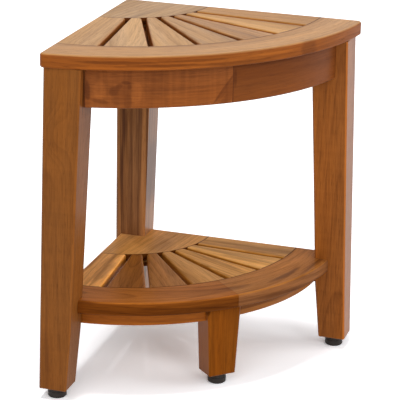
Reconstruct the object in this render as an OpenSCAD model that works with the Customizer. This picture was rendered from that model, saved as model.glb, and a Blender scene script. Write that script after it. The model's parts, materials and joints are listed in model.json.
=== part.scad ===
// Corner shower bench: a slatted quarter-round seat and a lower shelf on three splayed
// legs and one short leg, each leg on a levelling foot.
// Millimetres. Z is up. X runs across the front, Y points to the back corner.
// The origin is on the floor, under the middle of the bench's own box.

/* [Seat] */
// Height of the seat's top above the floor
seat_height = 450; // [400:5:480]
// Length of each straight side, from the back corner to the tip
seat_side = 327; // [316:1:345]
// Distance from the back corner to the middle of the curved front edge
seat_reach = 316.5; // [308:0.5:330]
// Thickness of the seat boards
seat_board_t = 18; // [17:0.5:24]
// Width of the curved front board at its middle
seat_front_mid_w = 50; // [44:1:60]
// Width of the curved front board along the straight sides
seat_front_tip_w = 55.5; // [50:0.5:64]
// Length of the corner board along each straight side
seat_corner_side = 116.5; // [100:0.5:130]
// Distance from the back corner to the middle of the corner board's curved edge
seat_corner_reach = 114.5; // [100:0.5:126]

/* [Shelf] */
// Height of the shelf's top above the floor
shelf_height = 129; // [118:1:170]
// Thickness of the shelf boards
shelf_board_t = 17.5; // [16.5:0.5:22]
// How far the shelf's straight sides stand in from the seat's
shelf_offset = 11; // [7:0.5:14]
// How far the shelf's tips stop short of the seat's tips
shelf_tip_setback = 19; // [14:0.5:26]
// How far the shelf's front edge stands behind the seat's
shelf_front_setback = 3; // [0:0.5:8]
// Width of the shelf's curved front board at its middle
shelf_front_mid_w = 57; // [52:1:64]
// Width of the shelf's curved front board along the straight sides
shelf_front_tip_w = 53.5; // [50:0.5:60]
// Length of the shelf's corner board along each straight side
shelf_corner_side = 118.5; // [104:0.5:130]
// Distance from the shelf's corner to the middle of its corner board's curved edge
shelf_corner_reach = 117; // [104:0.5:128]
// How far to the right of the middle the shelf's front board is joined
shelf_split = 12; // [0:1:16]

/* [Board edges] */
// Rounding along the outer edges of the boards
edge_round = 3; // [2:0.5:6]
// Rounding of the tips, seen from above
tip_round = 7.5; // [6.5:0.5:12]
// Rounding of the back corners, seen from above
corner_round = 6.5; // [6.5:0.5:10]

/* [Slats] */
// Width of the gaps between the slats
gap_w = 6; // [4:0.5:8]
// Rounding along the slats' long edges
slat_round = 3; // [1:0.25:3.5]
// Distance from the seat's corner to the point where its gaps would meet
seat_fan_start = 42; // [36:1:46]
// Angle between one gap of the seat and the next
seat_fan_angle = 15.4; // [14.8:0.1:16]
// Distance from the shelf's corner to the point where its gaps would meet
shelf_fan_start = 46; // [40:1:50]
// Angle between one gap of the shelf and the next
shelf_fan_angle = 16.3; // [15.8:0.1:16.8]

/* [Aprons and rails] */
// Height of the apron and the rails under the seat
seat_apron_h = 50.5; // [42:1:64]
// How far the seat's apron stands behind the seat's curved edge
seat_apron_recess = 14; // [11:0.5:18]
// Thickness of the seat's apron
seat_apron_t = 20; // [16:0.5:22]
// How far the seat's rails stand in from its straight sides
seat_rail_inset = 12; // [8:0.5:16]
// Thickness of the seat's rails
seat_rail_t = 20; // [16:0.5:22]
// Height of the apron and the rails under the shelf
shelf_apron_h = 21; // [19:0.5:30]
// How far the shelf's apron stands behind the shelf's curved edge
shelf_apron_recess = 21; // [18:0.5:25]
// Thickness of the shelf's apron
shelf_apron_t = 18; // [15:0.5:20]
// How far the shelf's rails stand in from its straight sides
shelf_rail_inset = 5; // [2:0.5:7]
// Thickness of the shelf's rails
shelf_rail_t = 18; // [15:0.5:19]
// Rounding along the lower edges of the aprons and rails
bearer_round = 2; // [1:0.25:3]

/* [Legs] */
// Width of the long legs under the seat
leg_top_w = 48.5; // [44:0.5:50]
// Width of the long legs at the foot of the shelf's rails
leg_knee_w = 41; // [37:0.5:43]
// Width of the long legs at their lower ends
leg_foot_w = 36.5; // [31:0.5:38]
// How far the front legs stand in from the seat's straight sides
leg_inset = 3.5; // [2:0.5:6]
// How far the back leg stands in from the seat's straight sides
back_leg_inset = 4.5; // [2:0.5:6]
// How far the tops of the front legs stand in from the seat's tips
leg_tip_inset = 7.5; // [7.5:0.5:12]
// How far the feet of the front legs reach out past their tops
leg_flare = 13.5; // [8:0.5:18]
// Width of the short middle leg under the shelf
mid_leg_w = 48.5; // [42:0.5:52]
// Width of the short middle leg at its lower end
mid_leg_foot_w = 38.5; // [33:0.5:41]
// Depth of the short middle leg under the shelf
mid_leg_d = 33; // [31:0.5:36]
// Depth of the short middle leg at its lower end
mid_leg_foot_d = 31; // [29:0.5:33]
// How far the short middle leg stands behind the shelf's front edge
mid_leg_setback = 14; // [12:0.5:17]
// Width of the flat along the legs' long edges
leg_arris = 2; // [1:0.25:3.5]

/* [Joinery] */
// Thickness of the tongues on the slats
tongue_t = 7; // [5:0.5:8]
// Length of the tongues on the slats
tongue_l = 8; // [5:0.5:9]
// Wood above the tongues
tongue_lip = 5; // [4:0.25:5.5]
// How far the tongues and their grooves stop short of the straight sides
tongue_stop = 12; // [8:0.5:16]
// Thickness of the rails' and aprons' tenons
tenon_t = 9; // [7:0.5:10]
// Shoulder above and below the tenons
tenon_shoulder = 4; // [3:0.5:5.5]
// Wood left between two tenons that cross in a leg
tenon_web = 2; // [1:0.5:3]
// Length of the tenons in the middle leg
mid_tenon_l = 11; // [8:0.5:13]
// Length of the tenons that join the shelf's apron to its rails
stub_tenon_l = 8; // [5:0.5:10]
// Diameter of the dowels
dowel_d = 8; // [6:0.5:9]
// Length of the dowels
dowel_l = 40; // [30:1:50]
// Distance between the two dowels of a joint
dowel_spacing = 25; // [20:0.5:26]

/* [Screws] */
// Diameter of the screws' shanks
screw_d = 4.5; // [3.5:0.5:5]
// Diameter of the screws' heads
screw_head_d = 8.5; // [7:0.5:9.5]
// Height of the screws' heads
screw_head_h = 2.5; // [2:0.25:4]
// How deep the screws reach into the boards
screw_bite = 11; // [8:0.5:12]
// Length of the screws' shanks within the seat's rails and apron
seat_screw_grip = 24; // [15:1:30]
// Length of the screws' shanks within the shelf's rails and apron
shelf_screw_grip = 12; // [9:0.5:14]

/* [Feet] */
// Height of the legs' lower ends above the floor
foot_h = 14; // [13:0.5:20]
// Diameter of the foot pads
pad_d = 24; // [22:0.5:28]
// Height of the foot pads
pad_h = 8; // [7.5:0.25:9]
// Diameter of the rings that turn the studs
ring_d = 23.4; // [20:0.2:27]
// Depth of the finger scallops in the rings
scallop_depth = 0.7; // [0.4:0.1:1.2]
// Diameter of the levelling studs
stud_d = 8; // [6:0.5:9]
// Length of the studs inside the legs when screwed right in
stud_in = 30; // [26:1:36]
// Diameter of the flange that holds a stud in its pad
flange_d = 12; // [11:0.5:14]
// Height of that flange
flange_h = 2; // [1.5:0.25:2.5]
// Plastic under that flange
pad_floor = 3.2; // [2.5:0.1:3.5]
// Outer diameter of the threaded inserts
insert_d = 12; // [11:0.5:14]
// Length of the threaded inserts
insert_l = 18; // [14:1:22]

/* [Fits] */
// Joint line between the boards' curved ends
board_gap = 0.5; // [0.3:0.1:0.8]
// Clearance round tongues, tenons and notches
joint_gap = 0.2; // [0.15:0.05:0.35]
// Clearance round dowels, screws and inserts, on the radius
hole_gap = 0.1; // [0.05:0.01:0.2]
// Running clearance of the studs, on the radius
run_gap = 0.08; // [0.05:0.01:0.1]
// Running clearance of the studs' flanges and rings, along the stud
end_gap = 0.2; // [0.15:0.05:0.3]

/* [Hidden] */

// Smoothness of the long arcs and of the small rounds
arc_fn = 240;
small_fn = 48;
$fn = small_fn;

// Longer than any cut needs to be
far = 600;
// Slats in a level, and so one gap less
slat_count = 7;

// Teak in the tones of the different boards, and the hardware
teak_seat = "#CDA679";
teak_edge = "#A8662F";
teak_leg = "#96592B";
teak_dark = "#7E4A26";
teak_shelf = "#B27A43";
teak_hidden = "#9A6B3E";
plastic_black = "#1C1C1D";
steel = "#B9BCBE";
brass = "#B59A55";

// The arc through both tips of a side length, with its middle at the given reach:
// its centre lies this far in front of the corner
function arc_centre(side, reach) =
    (reach * reach - side * side) / (2 * reach - sqrt(2) * side);
function arc_radius(side, reach) = reach - arc_centre(side, reach);

// Heights
seat_under = seat_height - seat_board_t;
seat_apron_z = seat_under - seat_apron_h;
shelf_under = shelf_height - shelf_board_t;
shelf_apron_z = shelf_under - shelf_apron_h;

// The shelf's own corner, sides and reach
shelf_corner_in = shelf_offset * sqrt(2);
shelf_side = seat_side - shelf_offset - shelf_tip_setback;
shelf_reach = seat_reach - shelf_front_setback - shelf_corner_in;

// The back corner's place, with the box of the bench centred on Y = 0
corner_y = (seat_reach + corner_round * (sqrt(2) - 1)) / 2;

// A level: its corner's distance from the seat's corner, sides, reach, the arcs of its
// boards, lower face, thickness, and the fan of its gaps
SEAT = [0, seat_side, seat_reach,
    seat_side - seat_front_tip_w, seat_reach - seat_front_mid_w,
    seat_corner_side, seat_corner_reach,
    seat_under, seat_board_t, seat_fan_start, seat_fan_angle];
SHELF = [shelf_corner_in, shelf_side, shelf_reach,
    shelf_side - shelf_front_tip_w, shelf_reach - shelf_front_mid_w,
    shelf_corner_side, shelf_corner_reach,
    shelf_under, shelf_board_t, shelf_fan_start, shelf_fan_angle];
function corner_in(l) = l[0];
function edge_arc(l) = [l[1], l[2]];
function front_arc(l) = [l[3], l[4]];
function corner_arc(l) = [l[5], l[6]];
function base_z(l) = l[7];
function board_t(l) = l[8];
function fan_start(l) = l[9];
function gap_angle(l, i) = (i - slat_count / 2) * l[10];

// Widths and faces of the long legs at a height
leg_levels = [foot_h, shelf_apron_z, seat_under];
leg_table = [[foot_h, leg_foot_w], [shelf_apron_z, leg_knee_w], [seat_under, leg_top_w]];
function leg_w(z) = lookup(z, leg_table);
function leg_out(z) = seat_side - leg_tip_inset
    + leg_flare * (seat_under - z) / (seat_under - foot_h);

// The middle leg's depth range along the bench's axis, from the seat's corner
mid_leg_front = seat_reach - shelf_front_setback - mid_leg_setback;
mid_leg_axis = mid_leg_front - mid_leg_d / 2;

// Radii of the aprons about their seat or shelf edge's centre
seat_apron_r = arc_radius(seat_side, seat_reach) - seat_apron_recess;
shelf_apron_r = arc_radius(shelf_side, shelf_reach) - shelf_apron_recess;
// Outer face of the shelf's rails, from the seat's straight sides
shelf_rail_in = shelf_offset + shelf_rail_inset;

// Feet: places in the walls' frame, as [along the left wall, along the right wall]
foot_places = [
    [back_leg_inset + leg_foot_w / 2, back_leg_inset + leg_foot_w / 2],
    [leg_out(foot_h) - leg_foot_w / 2, leg_inset + leg_foot_w / 2],
    [leg_inset + leg_foot_w / 2, leg_out(foot_h) - leg_foot_w / 2],
    [mid_leg_axis / sqrt(2), mid_leg_axis / sqrt(2)]];
// Rounding of the pads, and the rings' finger scallops
foot_round = 1.5;
scallop_count = 12;
scallop_r = 2.5;
// Room above a stud in its leg, and below a screw's tip in its pilot hole
stud_room = 4;
pilot_spare = 0.3;
// Easing round the legs' lower ends, and how far their arrises bend below their faces
leg_ease = 1.2;
arris_drop = 1;

// Where the screws stand along a straight rail, from the level's corner: one in the
// middle of the corner board's hold on the rail, one in the middle of the outer slat
function rail_screws(l, wall) = [
    (back_leg_inset + leg_w(base_z(l)) - wall + corner_arc(l)[0]) / 2,
    (corner_arc(l)[0] + front_arc(l)[0]) / 2];
seat_screw_at = rail_screws(SEAT, 0);
shelf_screw_at = rail_screws(SHELF, shelf_offset);
// Where they stand round each half of an apron, as shares of its length
screw_shares = [0.25, 0.75];
// Angle from the bench's axis at which a ring crosses a line along the left side
function ring_angle(l, radius, across) =
    45 - asin((across - (corner_in(l) + arc_centre(l[1], l[2])) / sqrt(2)) / radius);
seat_screw_angles = [for (s = screw_shares)
    s * ring_angle(SEAT, seat_apron_r, leg_inset + leg_w(seat_under))];
shelf_screw_lo = asin(mid_leg_w / 2 / shelf_apron_r);
shelf_screw_hi = ring_angle(SHELF, shelf_apron_r, shelf_rail_in + shelf_rail_t);
shelf_screw_angles = [for (s = screw_shares)
    shelf_screw_lo + s * (shelf_screw_hi - shelf_screw_lo)];

// Half of a mirrored pair: the right one is the left one seen in the bench's axis
module handed(right) {
    if (right) mirror([1, 0, 0]) children();
    else children();
}

// Frame of the walls: X along the left straight side, Y along the right one
module wall_frame(inwards = 0) {
    translate([0, corner_y - inwards, 0]) rotate(225) children();
}

// Section of a board with a rounded edge at x = 0, solid from there to x = reach
module edge_section(t, r, reach) {
    translate([r, 0]) square([reach - r, t]);
    translate([0, r]) square([reach, t - 2 * r]);
    for (y = [r, t - r]) translate([r, y]) circle(r);
}

// Round disc with a rounded rim
module rounded_disc(radius, t, r) {
    rotate_extrude($fn = arc_fn) {
        square([radius - r, t]);
        translate([0, r]) square([radius, t - 2 * r]);
        for (y = [r, t - r]) translate([radius - r, y]) intersection() {
            circle(r);
            translate([0, -r]) square(2 * r);
        }
    }
}

// A circle of a level's arcs in plan, grown by a distance
module arc_plan(l, arc, grow = 0) {
    translate([0, corner_y - corner_in(l) - arc_centre(arc[0], arc[1])])
        circle(arc_radius(arc[0], arc[1]) + grow, $fn = arc_fn);
}

// Everything on the bench's side of the left straight side, with a rounded edge
module left_edge_slab(l) {
    wall_frame(corner_in(l)) translate([-far / 4, 0, base_z(l)]) rotate([90, 0, 90])
        linear_extrude(far) edge_section(board_t(l), edge_round, far);
}

// Centre of the tip's rounding in the walls' frame, along the left side
function tip_centre(l) =
    let (c = -arc_centre(l[1], l[2]) / sqrt(2), r = arc_radius(l[1], l[2]) - tip_round)
    [sqrt(r * r - pow(tip_round + c, 2)) - c, tip_round];

// The tips' roundings stand this little proud, so that they cross the edges they run into
tip_swell = 0.1;

// The part of a level's plan that the left tip's rounding replaces
module tip_plan(l) {
    c = tip_centre(l);
    k = -arc_centre(l[1], l[2]) / sqrt(2);
    out = (c + [k, k]) / norm(c + [k, k]);
    wall_frame(corner_in(l)) polygon([
        [c[0], -tip_round], c, c + out * 3 * tip_round, c + [3 * tip_round, -2 * tip_round]]);
}

// The part of a level's plan that the back corner's rounding replaces
module corner_plan(l) {
    wall_frame(corner_in(l)) translate([-1, -1]) square(corner_round + 1);
}

// Extrudes a plan through a level, with a millimetre to spare
module through(l) {
    translate([0, 0, base_z(l) - 1]) linear_extrude(board_t(l) + 2) children();
}

// A level's whole outline, with every outer edge rounded
module level_blank(l) {
    difference() {
        intersection() {
            translate([0, corner_y - corner_in(l) - arc_centre(l[1], l[2]), base_z(l)])
                rounded_disc(arc_radius(l[1], l[2]), board_t(l), edge_round);
            left_edge_slab(l);
            mirror([1, 0, 0]) left_edge_slab(l);
        }
        through(l) corner_plan(l);
        through(l) tip_plan(l);
        through(l) mirror([1, 0]) tip_plan(l);
    }
    intersection() {
        wall_frame(corner_in(l)) translate([corner_round, corner_round, base_z(l)])
            rounded_disc(corner_round, board_t(l), edge_round, $fn = small_fn);
        through(l) corner_plan(l);
    }
    for (right = [false, true]) handed(right)
        wall_frame(corner_in(l)) translate([tip_centre(l)[0], tip_centre(l)[1], base_z(l)])
            rounded_disc(tip_round + tip_swell, board_t(l), edge_round, $fn = small_fn);
}

// Plan of the ground that tongues and grooves may take, clear of the straight sides
module tongue_ground(l, gap = 0) {
    wall_frame(corner_in(l)) translate([tongue_stop - gap, tongue_stop - gap]) square(far);
}

// Extrudes a plan through the height of a level's tongues, or of their grooves
module tongue_height(l, gap = 0) {
    translate([0, 0, base_z(l) + board_t(l) - tongue_lip - tongue_t - gap])
        linear_extrude(tongue_t + 2 * gap) children();
}

// The corner board of a level, grooved along its curved edge
module corner_board(l) {
    difference() {
        intersection() {
            level_blank(l);
            through(l) arc_plan(l, corner_arc(l), -board_gap / 2);
        }
        tongue_height(l, joint_gap) difference() {
            tongue_ground(l, joint_gap);
            arc_plan(l, corner_arc(l), -board_gap / 2 - tongue_l - joint_gap);
        }
    }
}

// The curved front board of a level, grooved along its inner edge
module front_board(l) {
    difference() {
        level_blank(l);
        through(l) arc_plan(l, front_arc(l), board_gap / 2);
        tongue_height(l, joint_gap) intersection() {
            tongue_ground(l, joint_gap);
            arc_plan(l, front_arc(l), board_gap / 2 + tongue_l + joint_gap);
        }
    }
}

// Plan of the slats' ring between the two curved boards, made longer by grow at each end
module slat_ring(l, grow) {
    difference() {
        arc_plan(l, front_arc(l), grow - board_gap / 2);
        arc_plan(l, corner_arc(l), board_gap / 2 - grow);
    }
}

// Places its children at the level's fan, turned so that gap i runs along -Y
module at_gap(l, i) {
    translate([0, corner_y - corner_in(l) - fan_start(l)]) rotate(gap_angle(l, i)) children();
}

// Slat k of a level, counted from the left: rounded long edges and a tongue at each end
module slat(l, k) {
    difference() {
        intersection() {
            slat_edge(l, k, false);
            slat_edge(l, k, true);
            through(l) arc_plan(l, front_arc(l), -board_gap / 2);
        }
        through(l) arc_plan(l, corner_arc(l), board_gap / 2);
    }
    tongue_height(l) intersection() {
        slat_ring(l, tongue_l);
        tongue_ground(l);
        tongue_side(l, k);
    }
}

// Everything on slat k's side of its left or right long edge, with that edge rounded
module slat_edge(l, k, right) {
    if (right && k == slat_count) mirror([1, 0, 0]) left_edge_slab(l);
    else if (right)
        at_gap(l, k) translate([-gap_w / 2, fan_start(l) - far, base_z(l)])
            rotate([90, 0, 180]) linear_extrude(far)
                edge_section(board_t(l), slat_round, far);
    else if (k == 1) left_edge_slab(l);
    else
        at_gap(l, k - 1) translate([gap_w / 2, fan_start(l), base_z(l)])
            rotate([90, 0, 0]) linear_extrude(far)
                edge_section(board_t(l), slat_round, far);
}

// Plan between the two gaps of slat k, inside its rounded edges
module tongue_side(l, k) {
    inset = gap_w / 2 + slat_round / 2;
    intersection() {
        union() {
            if (k == 1) wall_frame(corner_in(l)) square(far);
            else at_gap(l, k - 1) translate([inset, -far]) square([far, 2 * far]);
        }
        union() {
            if (k == slat_count) wall_frame(corner_in(l)) square(far);
            else at_gap(l, k) translate([-inset - far, -far]) square([far, 2 * far]);
        }
    }
}

// Side view of a post: its two faces at each height, eased at the lower end
function post_view(zs, lo, hi, ease, over) = let (n = len(zs) - 1) concat(
    ease > 0 ? [[lo[0] + ease, zs[0]], [lo[0], zs[0] + ease]] : [[lo[0], zs[0]]],
    [for (i = [1:n]) [lo[i], zs[i]]],
    over > 0 ? [[lo[n], zs[n] + over], [hi[n], zs[n] + over]] : [],
    [for (i = [n:-1:1]) [hi[i], zs[i]]],
    ease > 0 ? [[hi[0], zs[0] + ease], [hi[0] - ease, zs[0]]] : [[hi[0], zs[0]]]);

// Tapered post from its faces at each height, with flats along its long edges. Grown by
// a gap, it is the cutter for what is coped to it, and stands over its top
module post(zs, x_lo, x_hi, y_lo, y_hi, grow = 0) {
    g = grow;
    c = leg_arris;
    n = len(zs) - 1;
    ease = grow > 0 ? 0 : leg_ease;
    over = grow > 0 ? 1 : 0;
    diag = sqrt(2);
    // The flats bend a little below the faces
    ds = [for (i = [0:n]) i > 0 && i < n ? zs[i] - arris_drop : zs[i]];
    function at(v) = [for (z = ds) lookup(z, [for (i = [0:n]) [zs[i], v[i]]])];
    intersection() {
        post_side(0, zs, [for (x = x_lo) x - g], [for (x = x_hi) x + g], ease, over);
        post_side(90, zs, [for (y = y_lo) y - g], [for (y = y_hi) y + g], ease, over);
        post_side(45, ds, [for (d = at(x_lo) + at(y_lo)) (d + c) / diag - g],
            [for (d = at(x_hi) + at(y_hi)) (d - c) / diag + g], 0, over);
        post_side(-45, ds, [for (d = at(x_lo) - at(y_hi)) (d + c) / diag - g],
            [for (d = at(x_hi) - at(y_lo)) (d - c) / diag + g], 0, over);
    }
}

// One side view of a post, extruded square to it
module post_side(turn, zs, lo, hi, ease, over) {
    rotate([90, 0, turn]) translate([0, 0, -far])
        linear_extrude(2 * far) polygon(post_view(zs, lo, hi, ease, over));
}

// Left front leg's solid
module side_leg_post(grow = 0) {
    wall_frame() post(leg_levels,
        [for (z = leg_levels) leg_out(z) - leg_w(z)], [for (z = leg_levels) leg_out(z)],
        [for (z = leg_levels) leg_inset], [for (z = leg_levels) leg_inset + leg_w(z)], grow);
}

// Back leg's solid
module back_leg_post(grow = 0) {
    near = [for (z = leg_levels) back_leg_inset];
    away = [for (z = leg_levels) back_leg_inset + leg_w(z)];
    wall_frame() post(leg_levels, near, away, near, away, grow);
}

// Short middle leg's solid
module mid_leg_post(grow = 0) {
    w = [mid_leg_foot_w / 2, mid_leg_w / 2];
    d = [mid_leg_foot_d / 2, mid_leg_d / 2];
    translate([0, corner_y - mid_leg_axis, 0])
        post([foot_h, shelf_under], -w, w, -d, d, grow);
}

// Tenon of a rail along the left side, in the walls' frame: from x0 to x1
module rail_tenon(x0, x1, mid, z, h, gap) {
    translate([x0, mid - tenon_t / 2 - gap, z + tenon_shoulder - gap])
        cube([x1 - x0, tenon_t + 2 * gap, h - 2 * tenon_shoulder + 2 * gap]);
}

// The two levels' rails: middle line from the wall, lower face and height
seat_rail = [seat_rail_inset + seat_rail_t / 2, seat_apron_z, seat_apron_h, seat_rail_t];
shelf_rail = [shelf_rail_in + shelf_rail_t / 2, shelf_apron_z, shelf_apron_h, shelf_rail_t];
// A rail's tenons stop short of the tenon that crosses them
function tenon_stop(r) = r[0] + tenon_t / 2 + tenon_web;
function tenon_len(r) = back_leg_inset + leg_w(r[1]) - tenon_stop(r);

// Both tenons of a left rail, or their mortises with a gap
module rail_tenons(r, gap = 0) {
    inner = back_leg_inset + leg_w(r[1]);
    outer = leg_out(r[1]) - leg_w(r[1]);
    rise = leg_w(r[1] + r[2]) - leg_w(r[1]) + tenon_web;
    wall_frame() {
        rail_tenon(inner - tenon_len(r) - gap, inner + rise, r[0], r[1], r[2], gap);
        rail_tenon(outer - rise - leg_flare / 4, outer + tenon_len(r) + gap,
            r[0], r[1], r[2], gap);
    }
}

// Straight rail along the left side, coped to the tapered legs, with its tenons
module rail(r, screws_at, along, grip, extra) {
    difference() {
        union() {
            difference() {
                wall_frame() translate([back_leg_inset + leg_w(r[1]) / 2, r[0] - r[3] / 2, r[1]])
                    rotate([90, 0, 90])
                    linear_extrude(leg_out(r[1]) - back_leg_inset - leg_w(r[1]))
                    bearer_section(r[3], r[2]);
                back_leg_post(joint_gap);
                side_leg_post(joint_gap);
            }
            rail_tenons(r);
        }
        for (x = screws_at) wall_frame() translate([along + x, r[0], r[1] + r[2]])
            screw_bore(grip, r[2]);
        if (extra) shelf_stub_tenon(joint_gap);
    }
}

// Section of a rail or an apron, with both of its lower edges rounded
module bearer_section(t, h) {
    translate([0, bearer_round]) square([t, h - bearer_round]);
    translate([bearer_round, 0]) square([t - 2 * bearer_round, h]);
    for (x = [bearer_round, t - bearer_round]) translate([x, bearer_round])
        circle(bearer_round);
}

// Ring sector of an apron in the left half, from a height up
module apron_ring(l, radius, t, z, h, from_axis) {
    c = corner_y - corner_in(l) - arc_centre(l[1], l[2]);
    intersection() {
        translate([0, c, z]) rotate_extrude($fn = arc_fn)
            translate([radius - t, 0]) bearer_section(t, h);
        translate([-far, c - far, z - 1]) cube([far - from_axis, far, h + 2]);
    }
}

// Tenon that joins the seat's left apron to the left leg, or its mortise with a gap
module seat_apron_tenon(gap = 0) {
    face = leg_inset + leg_w(seat_apron_z);
    rise = leg_w(seat_under) - leg_w(seat_apron_z) + tenon_web;
    k = -arc_centre(seat_side, seat_reach) / sqrt(2);
    r = seat_apron_r - seat_apron_t / 2;
    x = sqrt(r * r - pow(face + k, 2)) - k;
    wall_frame() translate([x - tenon_t / 2 - gap, tenon_stop(seat_rail) - gap,
        seat_apron_z + tenon_shoulder - gap])
        cube([tenon_t + 2 * gap, face - tenon_stop(seat_rail) + rise + gap,
            seat_apron_h - 2 * tenon_shoulder + 2 * gap]);
}

// Left half of the seat's curved apron
module seat_apron() {
    difference() {
        union() {
            difference() {
                intersection() {
                    apron_ring(SEAT, seat_apron_r, seat_apron_t, seat_apron_z, seat_apron_h,
                        joint_gap / 2);
                    wall_frame() translate([0, leg_inset + leg_w(seat_apron_z) / 2, 0])
                        cube(far);
                }
                side_leg_post(joint_gap);
            }
            seat_apron_tenon();
        }
        apron_dowel_set(hole_gap);
        for (a = seat_screw_angles) apron_screw_place(SEAT, seat_apron_r - seat_apron_t / 2, a,
            seat_under) screw_bore(seat_screw_grip, seat_apron_h);
    }
}

// Dowels across the joint in the middle of the seat's apron, or their holes
module apron_dowel_set(gap = 0) {
    y = corner_y - arc_centre(seat_side, seat_reach) - seat_apron_r + seat_apron_t / 2;
    for (s = [-1, 1])
        translate([0, y, seat_apron_z + seat_apron_h / 2 + s * dowel_spacing / 2])
            dowel(gap);
}

// One dowel along X, centred
module dowel(gap = 0) {
    rotate([0, 90, 0]) cylinder(h = dowel_l + (gap > 0 ? 1 : 0), r = dowel_d / 2 + gap,
        center = true);
}

// Dowels across the joint of the shelf's front board, or their holes
module board_dowel_set(gap = 0) {
    mid = corner_y - corner_in(SHELF) - shelf_reach + shelf_front_mid_w / 2 - tongue_l / 4;
    for (s = [-1, 1])
        translate([shelf_split, mid + s * dowel_spacing / 2, shelf_under + shelf_board_t / 2])
            dowel(gap);
}

// Stub tenon that joins the shelf's left apron to the left rail, or its mortise
module shelf_stub_tenon(gap = 0) {
    face = shelf_rail_in + shelf_rail_t;
    k = shelf_offset + arc_centre(shelf_side, shelf_reach) / sqrt(2);
    r = shelf_apron_r - shelf_apron_t / 2;
    x = sqrt(r * r - pow(face - k, 2)) + k;
    wall_frame() translate([x - tenon_t / 2 - gap, face - stub_tenon_l - gap,
        shelf_apron_z + tenon_shoulder - gap])
        cube([tenon_t + 2 * gap, stub_tenon_l + tenon_web + gap,
            shelf_apron_h - 2 * tenon_shoulder + 2 * gap]);
}

// Tenon that joins the shelf's left apron to the middle leg, or its mortise
module mid_leg_tenon(gap = 0) {
    half = lookup(shelf_apron_z, [[foot_h, mid_leg_foot_w / 2], [shelf_under, mid_leg_w / 2]]);
    y = corner_y - corner_in(SHELF) - arc_centre(shelf_side, shelf_reach)
        - shelf_apron_r + shelf_apron_t / 2;
    translate([-half - tenon_web * 1.5, y - tenon_t / 2 - gap,
        shelf_apron_z + tenon_shoulder - gap])
        cube([mid_tenon_l + tenon_web * 1.5 + gap, tenon_t + 2 * gap,
            shelf_apron_h - 2 * tenon_shoulder + 2 * gap]);
}

// Left half of the shelf's curved apron, from its rail to the middle leg
module shelf_apron() {
    difference() {
        union() {
            difference() {
                intersection() {
                    apron_ring(SHELF, shelf_apron_r, shelf_apron_t, shelf_apron_z,
                        shelf_apron_h, mid_leg_w / 4);
                    wall_frame() translate([0, shelf_rail_in + shelf_rail_t + joint_gap, 0])
                        cube(far);
                }
                mid_leg_post(joint_gap);
            }
            shelf_stub_tenon();
            mid_leg_tenon();
        }
        for (a = shelf_screw_angles) apron_screw_place(SHELF, shelf_apron_r - shelf_apron_t / 2,
            a, shelf_under) screw_bore(shelf_screw_grip, shelf_apron_h);
    }
}

// Place of a screw round the left half of an apron, at the board's lower face
module apron_screw_place(l, radius, angle, z) {
    translate([0, corner_y - corner_in(l) - arc_centre(l[1], l[2]), z]) rotate(-angle)
        translate([0, -radius, 0]) children();
}

// Screw, with its origin where it crosses from the rail into the board
module screw(grip) {
    translate([0, 0, -grip]) cylinder(h = grip + screw_bite, r = screw_d / 2);
    translate([0, 0, -grip - screw_head_h]) cylinder(h = screw_head_h, r = screw_head_d / 2);
}

// Its clearance hole and counterbore in a rail of the given height
module screw_bore(grip, height) {
    translate([0, 0, -grip - 1]) cylinder(h = grip + 2, r = screw_d / 2 + hole_gap);
    translate([0, 0, -height - 1])
        cylinder(h = height - grip + 1, r = screw_head_d / 2 + hole_gap);
}

// Its blind pilot hole in a board
module screw_pilot() {
    translate([0, 0, -1]) cylinder(h = screw_bite + pilot_spare + 1, r = screw_d / 2 + hole_gap);
}

// Puts its children at every screw of a level, both halves
module at_screws(l) {
    r = l == SEAT ? seat_rail : shelf_rail;
    at = l == SEAT ? seat_screw_at : shelf_screw_at;
    radius = l == SEAT ? seat_apron_r - seat_apron_t / 2 : shelf_apron_r - shelf_apron_t / 2;
    angles = l == SEAT ? seat_screw_angles : shelf_screw_angles;
    along = l == SEAT ? 0 : shelf_offset;
    for (right = [false, true]) handed(right) {
        for (x = at) wall_frame() translate([along + x, r[0], base_z(l)]) children();
        for (a = angles) apron_screw_place(l, radius, a, base_z(l)) children();
    }
}

// A level's board with the screws' pilot holes and the notches for the legs
module fitted(l) {
    difference() {
        children();
        at_screws(l) screw_pilot();
        if (l == SHELF) {
            back_leg_post(joint_gap);
            side_leg_post(joint_gap);
            mirror([1, 0, 0]) side_leg_post(joint_gap);
        }
    }
}

// Bore for a leg's insert and stud, at the middle of the leg's lower end
module foot_bore(i) {
    wall_frame() translate([foot_places[i][0], foot_places[i][1], foot_h - 1]) {
        cylinder(h = insert_l + 1 + hole_gap, r = insert_d / 2 + hole_gap);
        cylinder(h = stud_in + stud_room, r = stud_d / 2 + 1);
    }
}

// Left leg with its mortises and foot bore
module side_leg() {
    difference() {
        side_leg_post();
        rail_tenons(seat_rail, joint_gap);
        rail_tenons(shelf_rail, joint_gap);
        seat_apron_tenon(joint_gap);
        foot_bore(1);
    }
}

// Back leg, mortised for the rails of both sides
module back_leg() {
    difference() {
        back_leg_post();
        for (right = [false, true]) handed(right) {
            rail_tenons(seat_rail, joint_gap);
            rail_tenons(shelf_rail, joint_gap);
        }
        foot_bore(0);
    }
}

// Middle leg, mortised for both halves of the shelf's apron
module middle_leg() {
    difference() {
        mid_leg_post();
        for (right = [false, true]) handed(right) mid_leg_tenon(joint_gap);
        foot_bore(3);
    }
}

// Half of the shelf's front board: the plan on one side of its joint
module shelf_board_half(right) {
    difference() {
        intersection() {
            fitted(SHELF) front_board(SHELF);
            through(SHELF) translate([right ? shelf_split + joint_gap / 2 : -far, -far])
                square([right ? far : far + shelf_split - joint_gap / 2, 2 * far]);
        }
        board_dowel_set(hole_gap);
    }
}

// Puts its children at foot i, on the floor
module at_foot(i) {
    wall_frame() translate([foot_places[i][0], foot_places[i][1], 0]) children();
}

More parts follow.
